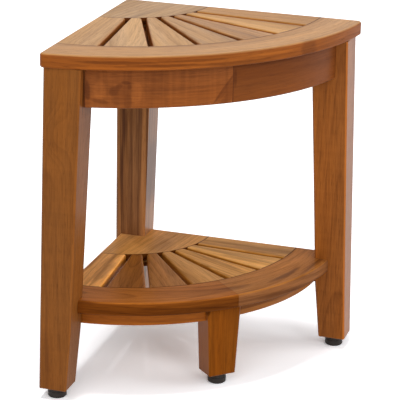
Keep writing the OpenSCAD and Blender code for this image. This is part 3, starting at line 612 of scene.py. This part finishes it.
# both halves of the shelf's front board are cut from one plank
shelfFront = {
    "centre": (0, -0.14, 0.129), "along": sideways, "facing": upward, "curve": curves["shelfEdge"],
    "seed": 71.8, "pithAcross": 0.012, "pithBelow": 0.03, "wander": 0.008, "taper": 0.05,
    "veins": 0.8,
    "marks": (
        mark((0.102, -0.117, 0.129), 0.035, 0.0045, slant=4, dark=0.6),
        mark((0.02, -0.128, 0.129), 0.03, 0.005, slant=-5, dark=0.3),
        mark((0.035, -0.147, 0.129), 0.03, 0.0018, dark=0.4),
    ),
}
dressAll({
    "seat_corner_board": makeLook(
        seatWood, (0, 0.1, 0.45), Vector((0.86, 0.51, 0)), upward, top=(0.47, 0.275, 0.12),
        seed=41.3, pithAcross=0.06, pithBelow=0.09),
    "seat_front_board": makeLook(
        seatWood, (0, -0.13, 0.45), sideways, upward, curve=curves["seatEdge"],
        top=(0.48, 0.245, 0.088), edge=(0.285, 0.08, 0.01), marks=seatFrontMarks,
        seed=52.9, pithAcross=0.03, pithBelow=0.03, wander=0.005, veins=0.5),
    # its top tint is partly painted light too, paler to make up for the seat's shade
    "shelf_corner_board": makeLook(
        shelfWood, (0, 0.09, 0.129), Vector((0.8, 0.6, 0)), upward, top=(0.68, 0.33, 0.102),
        contrast=0.65, marks=shelfCornerMarks,
        seed=63.2, pithAcross=0.05, pithBelow=0.09, veins=0.1, bands=0.4),
    "shelf_front_board_left": makeLook(
        shelfWood, top=(0.385, 0.125, 0.0185), edge=(0.177, 0.049, 0.005), contrast=1.15,
        **shelfFront),
    "shelf_front_board_right": makeLook(
        shelfWood, top=(0.45, 0.175, 0.038), edge=(0.27, 0.107, 0.036), contrast=0.85,
        **shelfFront),
})
print("boards dressed")


# aprons, rails and legs
frameWood = {
    "top": (0.28, 0.092, 0.016),
    "edge": (0.28, 0.092, 0.016),
    "contrast": 0.85,
    "film": 0.6,
    "ior": 1.2,
    "joints": (),
    "figure": {"ringGap": 0.005, "wander": 0.003, "bands": 0.55, "rings": 0.3, "veins": 0.4},
}
backLegMarks = (
    mark((-0.0047, 0.0936, 0.3), 0.5, 0.0038, tone=-0.5, ragged=0.15),
    mark((-0.0012, 0.0901, 0.3), 0.5, 0.001, dark=0.65, ragged=0.1),
    mark((-0.0092, 0.0981, 0.3), 0.5, 0.0012, dark=0.5, ragged=0.1),
    mark((-0.0168, 0.1057, 0.3), 0.5, 0.0022, dark=0.38, ragged=0.15),
    mark((-0.024, 0.113, 0.3), 0.5, 0.003, dark=0.3, ragged=0.3),
)
# shade on the left leg beside the seat's apron
leftLegMarks = (
    mark((-0.1812, -0.0943, 0.405), 0.03, 0.012, depth=0.0024, dark=0.95, ragged=0),
)
# painted light on the middle leg: its left face is painted paler, a painted sheen, and painted
# shade darkens it where it meets the apron
middleLegMarks = (
    mark((-0.0238, -0.125, 0.06), 0.5, 0.0042, tone=-0.55, ragged=0.1),
    mark((-0.0242, -0.1395, 0.107), 0.007, 0.0035, dark=0.75, ragged=0.1),
)
dressAll({
    "leg_back": makeLook(
        frameWood, (0, 0.124, 0.25), upward, alongLeft, tint=(0.303, 0.131, 0.045), film=1.0,
        marks=backLegMarks, seed=5.1, pithAcross=0.05, pithBelow=0.03, veins=0.9),
    "leg_left": makeLook(
        frameWood, (-0.196, -0.069, 0.25), upward, alongLeft, tint=(0.235, 0.08, 0.0137),
        film=0.2, arris=0.1, contrast=0.75, marks=leftLegMarks, seed=14.7, pithAcross=0.012,
        pithBelow=0.014, taper=0.05, ribbon=0.25, bands=0.4, veins=0.2,
        eyeAlong=0.098, eyeAcross=0.0, eyeSize=0.03, eyeLift=0.012),
    "leg_right": makeLook(
        frameWood, (0.196, -0.069, 0.25), upward, alongLeft, tint=(0.31, 0.1, 0.017),
        film=0.68, arris=0.5, seed=23.3, pithAcross=-0.02, pithBelow=0.03, ribbon=0.25,
        bands=0.4, veins=0.3),
    "leg_middle": makeLook(
        frameWood, (0, -0.123, 0.06), upward, forward, tint=(0.19, 0.053, 0.004), film=1.35,
        ior=1.1, marks=middleLegMarks, seed=36.9, pithAcross=0.03, pithBelow=0.05),
})
seatApronMarks = (
    # a hooked knot, its orange surround and a patch at the leg
    mark((-0.1475, -0.1095, 0.4032), 0.0065, 0.0065, dark=0.45, ragged=0.2),
    mark((-0.1425, -0.112, 0.4085), 0.0075, 0.004, slant=45, dark=0.48, ragged=0.2),
    mark((-0.134, -0.1155, 0.4138), 0.0065, 0.0028, slant=-8, dark=0.5, ragged=0.2),
    mark((-0.1375, -0.1142, 0.4), 0.011, 0.013, dark=0.26),
    mark((-0.1302, -0.117, 0.4095), 0.0028, 0.005, dark=0.4),
    mark((-0.132, -0.1163, 0.391), 0.005, 0.011, dark=0.38),
    mark((-0.143, -0.1115, 0.392), 0.009, 0.007, dark=0.28),
    mark((-0.1762, -0.094, 0.4038), 0.0042, 0.0125, slant=6, dark=0.55),
    mark((-0.1628, -0.1016, 0.3905), 0.013, 0.0024, slant=-8, dark=0.4),
    mark((-0.1628, -0.1016, 0.404), 0.0085, 0.011, tone=-0.45),
    mark((-0.122, -0.12, 0.401), 0.007, 0.014, tone=-0.3),
    # a darker corner beside the middle joint, with a slanted edge
    mark((-0.0121, -0.1427, 0.4022), 0.025, 0.0022, dark=0.52, slant=51, ragged=0.15),
    mark((-0.0095, -0.1427, 0.4001), 0.017, 0.0036, dark=0.4, slant=51),
    mark((-0.0045, -0.1428, 0.3945), 0.02, 0.008, dark=0.4, slant=51),
    # the dark line at the middle joint, and painted shade in the gap where the apron meets the leg
    mark((-0.0002, -0.143, 0.405), 0.0011, 0.2, dark=0.8, ragged=0),
    mark((-0.18, -0.0915, 0.401), 0.0024, 0.2, dark=1.0, ragged=0),
)
rightApronMarks = (mark((0.0023, -0.143, 0.413), 0.0024, 0.012, dark=0.4, ragged=0.2),)
dressAll({
    "seat_apron_left": makeLook(
        frameWood, (-0.09, -0.12, 0.407), sideways, forward, curve=curves["seatEdge"],
        tint=(0.285, 0.085, 0.017), contrast=0.75, marks=seatApronMarks, seed=47.2,
        pithAcross=0.03, pithBelow=0.05, ribbon=0.9, bands=0.3, rings=0.08, veins=0.12,
        eyeAlong=-0.05, eyeAcross=0.0, eyeSize=0.03, eyeLift=0.03),
    "seat_apron_right": makeLook(
        frameWood, (0.09, -0.12, 0.407), sideways, forward, curve=curves["seatEdge"],
        tint=(0.2, 0.056, 0.009), contrast=0.6, marks=rightApronMarks, seed=58.4,
        pithAcross=0.05, pithBelow=0.09, veins=0.2),
    "shelf_apron_left": makeLook(
        frameWood, (-0.09, -0.11, 0.1), sideways, forward, curve=curves["shelfEdge"],
        tint=(0.4, 0.115, 0.01), seed=61.5, pithAcross=0.03, pithBelow=0.05),
    "shelf_apron_right": makeLook(
        frameWood, (0.09, -0.11, 0.1), sideways, forward, curve=curves["shelfEdge"],
        tint=(0.36, 0.13, 0.026), seed=77.7, pithAcross=0.03, pithBelow=0.05),
    "seat_rail_left": makeLook(frameWood, (-0.115, 0.045, 0.407), alongLeft, alongRight, seed=81.1),
    "seat_rail_right": makeLook(frameWood, (0.115, 0.045, 0.407), alongRight, alongLeft, seed=86.6),
    "shelf_rail_left": makeLook(frameWood, (-0.11, 0.035, 0.1), alongLeft, alongRight, seed=92.2),
    "shelf_rail_right": makeLook(frameWood, (0.11, 0.035, 0.1), alongRight, alongLeft, seed=97.5),
})
print("frame dressed")


# feet and fixings: plastic, steel, brass and dowel wood
broadGrain = ((70, 70, 70), (2.3, 5.1, 1.2), 3)  # the noise's stretch, offset and detail


def buildFineGrain():
    # small unevenness of moulded, turned or plated surfaces
    tree, given, made = newGroup("fineGrain", [
        ("Vector", vector, None), ("Color", colour, (0.5, 0.5, 0.5, 1)),
        ("Stretch", vector, (900, 900, 900)), ("Uneven", number, 0.2),
        ("Roughness", number, 0.4), ("Rub", number, 0.1),
    ], [("Color", colour), ("Roughness", number), ("Height", number)])
    stretched = vectorCalc(tree, "MULTIPLY", given["Vector"], given["Stretch"])
    fine = addNode(tree, "ShaderNodeTexNoise")
    feed(tree, fine.inputs["Vector"], stretched)
    feed(tree, fine.inputs["Scale"], 1.0)
    broad = noise(tree, given["Vector"], *broadGrain).outputs["Fac"]
    shade = swayed(tree, broad, given["Uneven"], 1.0)
    shade = together(tree, shade, shade, shade)
    feed(tree, made["Color"], vectorCalc(tree, "MULTIPLY", given["Color"], shade))
    feed(tree, made["Roughness"], swayed(tree, broad, given["Rub"], given["Roughness"]))
    feed(tree, made["Height"], fine.outputs["Fac"])
    return tree


fineGrain = buildFineGrain()
fixingIor = 1.45
fixingReliefHeight = 0.0002
fixingLooks = {
    "mouldedPlastic": {"color": (0.014, 0.008, 0.005, 1), "metallic": 0.0, "roughness": 0.46,
                       "rub": 0.2, "uneven": 0.5, "stretch": (1500, 1500, 1500), "relief": 0.15},
    "platedSteel": {"color": (0.55, 0.54, 0.52, 1), "metallic": 1.0, "roughness": 0.3,
                    "rub": 0.15, "uneven": 0.15, "stretch": (300, 300, 3000), "relief": 0.06},
    "turnedBrass": {"color": (0.68, 0.47, 0.2, 1), "metallic": 1.0, "roughness": 0.35,
                    "rub": 0.15, "uneven": 0.2, "stretch": (300, 300, 4000), "relief": 0.08},
    "dowelBeech": {"color": (0.55, 0.36, 0.18, 1), "metallic": 0.0, "roughness": 0.6,
                   "rub": 0.1, "uneven": 0.5, "stretch": (120, 2500, 2500), "relief": 0.2},
}


def fixingMaterial(name):
    look = fixingLooks[name]
    material, tree = newMaterial(name)
    place = addNode(tree, "ShaderNodeTexCoord").outputs["Object"]
    grain = useGroup(tree, fineGrain, {
        "Vector": place, "Color": look["color"], "Stretch": look["stretch"],
        "Uneven": look["uneven"], "Roughness": look["roughness"], "Rub": look["rub"]})
    shader = addNode(tree, "ShaderNodeBsdfPrincipled")
    feed(tree, shader.inputs["Metallic"], look["metallic"])
    feed(tree, shader.inputs["IOR"], fixingIor)
    feed(tree, shader.inputs["Base Color"], grain["Color"])
    feed(tree, shader.inputs["Roughness"], grain["Roughness"])
    addRelief(tree, shader, grain["Height"], look["relief"], fixingReliefHeight)
    showSurface(tree, shader)
    return material


fixingMaterials = {name: fixingMaterial(name) for name in fixingLooks}
# what a node's name holds, and the finish that it takes
fixingFinishes = {"foot_pad": "mouldedPlastic", "foot_ring": "mouldedPlastic",
                  "foot_stud": "platedSteel", "_screws": "platedSteel",
                  "insert": "turnedBrass", "dowel": "dowelBeech"}
for node in cadNodes:
    for part, finish in fixingFinishes.items():
        if part in node:
            dress(node, fixingMaterials[finish])
bare = [node for node, piece in cadNodes.items()
        if not piece.material_slots or any(slot.material is None for slot in piece.material_slots)]
print("nodes without a material:", bare)


# threads, drives and flutes: one turned rod, grown on the places of the plain CAD ones
rodDetails = {
    "runOut": 0.0012,  # the thread gets to its full depth over this length
    "driveLobes": 6.0,
    "driveWave": 0.07,
    "driveSize": 0.42,  # share of the head's width
    "leastDrive": 0.0001,  # a rod with less has no drive
}


def setPlace(tree, geometry, position, selection=None):
    node = addNode(tree, "GeometryNodeSetPosition")
    feed(tree, node.inputs["Geometry"], geometry)
    feed(tree, node.inputs["Position"], position)
    feed(tree, node.inputs["Selection"], selection)
    return node.outputs[0]


def extrudeFaces(tree, mesh, selection, distance):
    node = addNode(tree, "GeometryNodeExtrudeMesh", mode="FACES")
    feed(tree, node.inputs["Mesh"], mesh)
    feed(tree, node.inputs["Selection"], selection)
    feed(tree, node.inputs["Offset Scale"], distance)
    return node.outputs


def buildTurnedRod():
    tree, given, made = newGroup("turnedRod", [
        ("Places", "NodeSocketGeometry", None), ("Sides", "NodeSocketInt", 36),
        ("Steps", "NodeSocketInt", 180), ("Length", number, 0.04), ("Outer", number, 0.004),
        ("Groove", number, 0.0006), ("Turns", number, 800.0), ("Lobes", number, -1.0),
        ("Thread Start", number, 0.003), ("Head Radius", number, 0.006),
        ("Head Height", number, 0.002), ("Chamfer", number, 0.0006), ("Tip Slope", number, 1.0),
        ("Tip Radius", number, 0.003), ("Drive Depth", number, 0.0), ("Lies Along X", number, 0.0),
        ("Material", "NodeSocketMaterial", None),
    ], [("Geometry", "NodeSocketGeometry")], "GeometryNodeTree")
    rod = addNode(tree, "GeometryNodeMeshCylinder", fill_type="NGON")
    feed(tree, rod.inputs["Vertices"], given["Sides"])
    feed(tree, rod.inputs["Side Segments"], given["Steps"])
    feed(tree, rod.inputs["Radius"], given["Outer"])
    feed(tree, rod.inputs["Depth"], given["Length"])
    x, y, z = apart(tree, addNode(tree, "GeometryNodeInputPosition").outputs[0])
    height = calc(tree, "MULTIPLY_ADD", given["Length"], 0.5, z)
    angle = calc(tree, "DIVIDE", calc(tree, "ARCTAN2", y, x), 2 * math.pi)
    # thread or flutes: a V that runs round the rod
    phase = calc(tree, "MULTIPLY", height, given["Turns"])
    phase = calc(tree, "FRACT", calc(tree, "MULTIPLY_ADD", angle, given["Lobes"], phase))
    groove = calc(tree, "ABSOLUTE", calc(tree, "MULTIPLY_ADD", phase, 2.0, -1.0))
    groove = calc(tree, "MULTIPLY", groove, given["Groove"])
    past = calc(tree, "SUBTRACT", height, given["Thread Start"])
    fade = calc(tree, "DIVIDE", past, rodDetails["runOut"], clamp=True)
    radius = calc(tree, "SUBTRACT", given["Outer"], calc(tree, "MULTIPLY", groove, fade))
    # far end: cut at a slope
    toEnd = calc(tree, "SUBTRACT", given["Length"], height)
    slope = calc(tree, "MULTIPLY_ADD", toEnd, given["Tip Slope"], given["Tip Radius"])
    radius = calc(tree, "MINIMUM", radius, slope)
    # head, with its lower corner chamfered
    inHead = calc(tree, "LESS_THAN", height, given["Head Height"])
    lowRim = calc(tree, "SUBTRACT", given["Head Radius"], given["Chamfer"])
    headRadius = calc(tree, "MINIMUM", given["Head Radius"], calc(tree, "ADD", lowRim, height))
    radius = mix(tree, "FLOAT", inHead, radius, headRadius)
    grow = calc(tree, "DIVIDE", radius, given["Outer"])
    newX, newY = calc(tree, "MULTIPLY", x, grow), calc(tree, "MULTIPLY", y, grow)
    aligned = mix(tree, "VECTOR", given["Lies Along X"], together(tree, newX, newY, height),
                  together(tree, z, newX, newY))
    shaped = setPlace(tree, rod.outputs["Mesh"], aligned)
    # the drive: the lower face is let in, in a six-lobed outline
    bottom = extrudeFaces(tree, shaped, rod.outputs["Bottom"], 0.0)
    x, y, z = apart(tree, addNode(tree, "GeometryNodeInputPosition").outputs[0])
    lobe = calc(tree, "MULTIPLY", calc(tree, "ARCTAN2", y, x), rodDetails["driveLobes"])
    shrink = calc(tree, "MULTIPLY_ADD", calc(tree, "COSINE", lobe), rodDetails["driveWave"],
                  rodDetails["driveSize"])
    x, y = calc(tree, "MULTIPLY", x, shrink), calc(tree, "MULTIPLY", y, shrink)
    inset = setPlace(tree, bottom["Mesh"], together(tree, x, y, z), bottom["Top"])
    inwards = calc(tree, "MULTIPLY", given["Drive Depth"], -1.0)
    sunk = extrudeFaces(tree, inset, bottom["Top"], inwards)
    driven = addNode(tree, "GeometryNodeSwitch", input_type="GEOMETRY")
    feed(tree, driven.inputs[0], calc(tree, "GREATER_THAN", given["Drive Depth"],
                                rodDetails["leastDrive"]))
    feed(tree, driven.inputs[1], shaped)
    feed(tree, driven.inputs[2], sunk["Mesh"])
    points = addNode(tree, "GeometryNodeMeshToPoints")
    feed(tree, points.inputs["Mesh"], given["Places"])
    placed = addNode(tree, "GeometryNodeInstanceOnPoints")
    feed(tree, placed.inputs["Points"], points.outputs[0])
    feed(tree, placed.inputs["Instance"], driven.outputs[0])
    real = addNode(tree, "GeometryNodeRealizeInstances")
    feed(tree, real.inputs[0], placed.outputs[0])
    finish = addNode(tree, "GeometryNodeSetMaterial")
    feed(tree, finish.inputs["Geometry"], real.outputs[0])
    feed(tree, finish.inputs["Material"], given["Material"])
    feed(tree, made["Geometry"], finish.outputs[0])
    return tree


turnedRod = buildTurnedRod()


def clusters(node, reach=0.011):
    # the separate solids of a node, each as its lowest and highest corner
    groups = []
    for vertex in cadNodes[node].data.vertices:
        spot = cadNodes[node].matrix_world @ vertex.co
        near = [group for group in groups if (group[0].xy - spot.xy).length < reach]
        if near:
            near[0].append(spot)
        else:
            groups.append([spot])
    return [(Vector([min(spot[i] for spot in group) for i in range(3)]),
             Vector([max(spot[i] for spot in group) for i in range(3)])) for group in groups]


def growPiece(name, spots, shape, material):
    mesh = bpy.data.meshes.new(name + "Spots")
    mesh.from_pydata([tuple(spot) for spot in spots], [], [])
    source = bpy.data.objects.new(name + "Source", mesh)
    bpy.context.scene.collection.objects.link(source)
    modifier = source.modifiers.new("rod", "NODES")
    modifier.node_group = turnedRod
    wanted = {socketLabel(key): value for key, value in shape.items()}
    wanted["Material"] = material
    for item in turnedRod.interface.items_tree:
        if item.in_out == "INPUT" and item.name in wanted:
            modifier[item.identifier] = wanted[item.name]
    evaluated = source.evaluated_get(bpy.context.evaluated_depsgraph_get())
    grown = bpy.data.meshes.new_from_object(evaluated)
    bpy.data.objects.remove(source)
    piece = bpy.data.objects.new(name, grown)
    bpy.context.scene.collection.objects.link(piece)
    print(name, len(grown.polygons), "faces", [finish.name for finish in grown.materials if finish])
    return piece


studShape = {
    "sides": 40, "steps": 240, "outer": 0.00398, "groove": 0.00062, "turns": 800.0, "lobes": -1.0,
    "threadStart": 0.003, "headRadius": 0.006, "headHeight": 0.002, "chamfer": 0.0004,
    "tipSlope": 1.0, "tipRadius": 0.0031,
}
for place in ("back", "left", "right", "middle"):
    low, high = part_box("foot_stud_" + place)
    spot = ((low[0] + high[0]) / 2, (low[1] + high[1]) / 2, low[2])
    stud = growPiece("threadedStud_" + place, [spot], {**studShape, "length": high[2] - low[2]},
                     fixingMaterials["platedSteel"])
    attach(stud, "stud_" + place)
    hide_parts("foot_stud_" + place)

screwShape = {
    "sides": 36, "steps": 200, "outer": 0.00225, "groove": 0.00055, "turns": 500.0, "lobes": -1.0,
    "headRadius": 0.00425, "headHeight": 0.0025, "chamfer": 0.0007, "tipSlope": 0.55,
    "tipRadius": 0.0003, "driveDepth": 0.0014,
}
screwThreadStart = {"seat": 0.012, "shelf": 0.008}
for level in ("seat", "shelf"):
    found = clusters(level + "_screws")
    spots = [((low.x + high.x) / 2, (low.y + high.y) / 2, low.z) for low, high in found]
    length = found[0][1].z - found[0][0].z
    screws = growPiece(level + "StarScrews", spots,
                       {**screwShape, "length": length, "threadStart": screwThreadStart[level]},
                       fixingMaterials["platedSteel"])
    print(level, "screws:", len(spots), "length", round(length, 4))
    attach(screws, "frame")
    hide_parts(level + "_screws")

dowelRadius = 0.004
dowelShape = {
    "sides": 72, "steps": 40, "outer": 0.00398, "groove": 0.0004, "turns": 0.0, "lobes": 18.0,
    "threadStart": -1.0, "headRadius": 0.00398, "headHeight": 0.0008, "chamfer": 0.0008,
    "tipSlope": 1.0, "tipRadius": 0.0032, "liesAlongX": 1.0,
}
# two dowels at each joint, one above the other in the apron and one behind the other in the shelf
for node, axis in (("apron_dowels", 2), ("shelf_board_dowels", 1)):
    low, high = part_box(node)
    spots = []
    for end in (low[axis] + dowelRadius, high[axis] - dowelRadius):
        spot = [(low[i] + high[i]) / 2 for i in range(3)]
        spot[axis] = end
        spots.append(spot)
    dowels = growPiece("fluted_" + node, spots, {**dowelShape, "length": high[0] - low[0]},
                       fixingMaterials["dowelBeech"])
    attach(dowels, "frame")
    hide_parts(node)
print("fixings grown")


# camera, at the photographed angle
view = {
    "place": (-1.1328, -2.1555, 1.0270),
    "aim": (0.45074, 0.83411, -0.31795),
    "roll": 0.02734,
    "sensor": 36,
    "lens": 174.32,
    "shift": (0.00465, 0.00241),
    "farthest": 100,
}


def placeCamera():
    aim = Vector(view["aim"]).normalized()
    levelWay = aim.cross(upward).normalized()
    rise = levelWay.cross(aim)
    cosine, sine = math.cos(view["roll"]), math.sin(view["roll"])
    axes = Matrix((cosine * levelWay + sine * rise, cosine * rise - sine * levelWay, -aim))
    camera = bpy.data.objects.new("camera", bpy.data.cameras.new("camera"))
    bpy.context.scene.collection.objects.link(camera)
    camera.matrix_world = Matrix.Translation(view["place"]) @ axes.transposed().to_4x4()
    camera.data.sensor_width = view["sensor"]
    camera.data.lens = view["lens"]
    camera.data.shift_x, camera.data.shift_y = view["shift"]
    camera.data.clip_end = view["farthest"]
    bpy.context.scene.camera = camera


# floor, world and lamps
studio = {
    "floorSize": 30.0,
    "floorColor": (0.84, 0.84, 0.85, 1),
    "floorSeen": (1.4, 1.42, 1.46, 1),
    "floorGlow": 0.09,
    "worldColor": (1, 1, 1, 1),
    "worldStrength": 0.35,
    "worldSeen": 1.0,
    "lamps": {
        "overhead": {"strength": 1.0, "spread": 7, "from": (-0.08, -0.02, 1.0)},
        "frontLeft": {"strength": 0.85, "spread": 45, "from": (-0.65, -0.6, 0.5)},
        "front": {"strength": 0.7, "spread": 22, "from": (0.05, -0.9, 0.45)},
        "frontRight": {"strength": 0.85, "spread": 35, "from": (0.75, -0.45, 0.45)},
    },
}


def seenShare(tree):
    # rays that show the white surroundings: straight from the camera, mirrored or let through
    path = addNode(tree, "ShaderNodeLightPath")
    seen = calc(tree, "MAXIMUM", path.outputs["Is Camera Ray"], path.outputs["Is Glossy Ray"])
    return calc(tree, "MAXIMUM", seen, path.outputs["Is Transmission Ray"])


def buildFloor():
    shape = bmesh.new()
    bmesh.ops.create_grid(shape, x_segments=2, y_segments=2, size=studio["floorSize"] / 2)
    mesh = bpy.data.meshes.new("studioFloor")
    shape.to_mesh(mesh)
    shape.free()
    floor = bpy.data.objects.new("studioFloor", mesh)
    bpy.context.scene.collection.objects.link(floor)
    material, tree = newMaterial("paleFloor")
    matt = addNode(tree, "ShaderNodeBsdfDiffuse")
    direct = addNode(tree, "ShaderNodeLightPath").outputs["Is Camera Ray"]
    feed(tree, matt.inputs["Color"],
         mix(tree, "RGBA", direct, studio["floorColor"], studio["floorSeen"]))
    glow = addNode(tree, "ShaderNodeEmission")
    feed(tree, glow.inputs["Strength"],
         calc(tree, "MULTIPLY", seenShare(tree), studio["floorGlow"]))
    both = addNode(tree, "ShaderNodeAddShader")
    feed(tree, both.inputs[0], matt.outputs[0])
    feed(tree, both.inputs[1], glow.outputs[0])
    # from below, the floor lets the eye through
    surface = addNode(tree, "ShaderNodeMixShader")
    feed(tree, surface.inputs[0], addNode(tree, "ShaderNodeNewGeometry").outputs["Backfacing"])
    feed(tree, surface.inputs[1], both.outputs[0])
    feed(tree, surface.inputs[2], addNode(tree, "ShaderNodeBsdfTransparent").outputs[0])
    showSurface(tree, surface)
    mesh.materials.append(material)


def buildWorld():
    world = bpy.data.worlds.new("studio")
    bpy.context.scene.world = world
    world.use_nodes = True
    tree = world.node_tree
    tree.nodes.clear()
    sky = addNode(tree, "ShaderNodeBackground")
    feed(tree, sky.inputs["Color"], studio["worldColor"])
    feed(tree, sky.inputs["Strength"],
         mix(tree, "FLOAT", seenShare(tree), studio["worldStrength"], studio["worldSeen"]))
    showSurface(tree, sky, "ShaderNodeOutputWorld")


def buildLamps():
    for name, lamp in studio["lamps"].items():
        data = bpy.data.lights.new(name, "SUN")
        data.energy = lamp["strength"]
        data.angle = math.radians(lamp["spread"])
        lampObject = bpy.data.objects.new(name, data)
        lampObject.rotation_euler = Vector(lamp["from"]).to_track_quat("Z", "Y").to_euler()
        bpy.context.scene.collection.objects.link(lampObject)


placeCamera()
buildFloor()
buildWorld()
buildLamps()
bpy.context.scene.view_settings.view_transform = "Standard"
print("studio built")
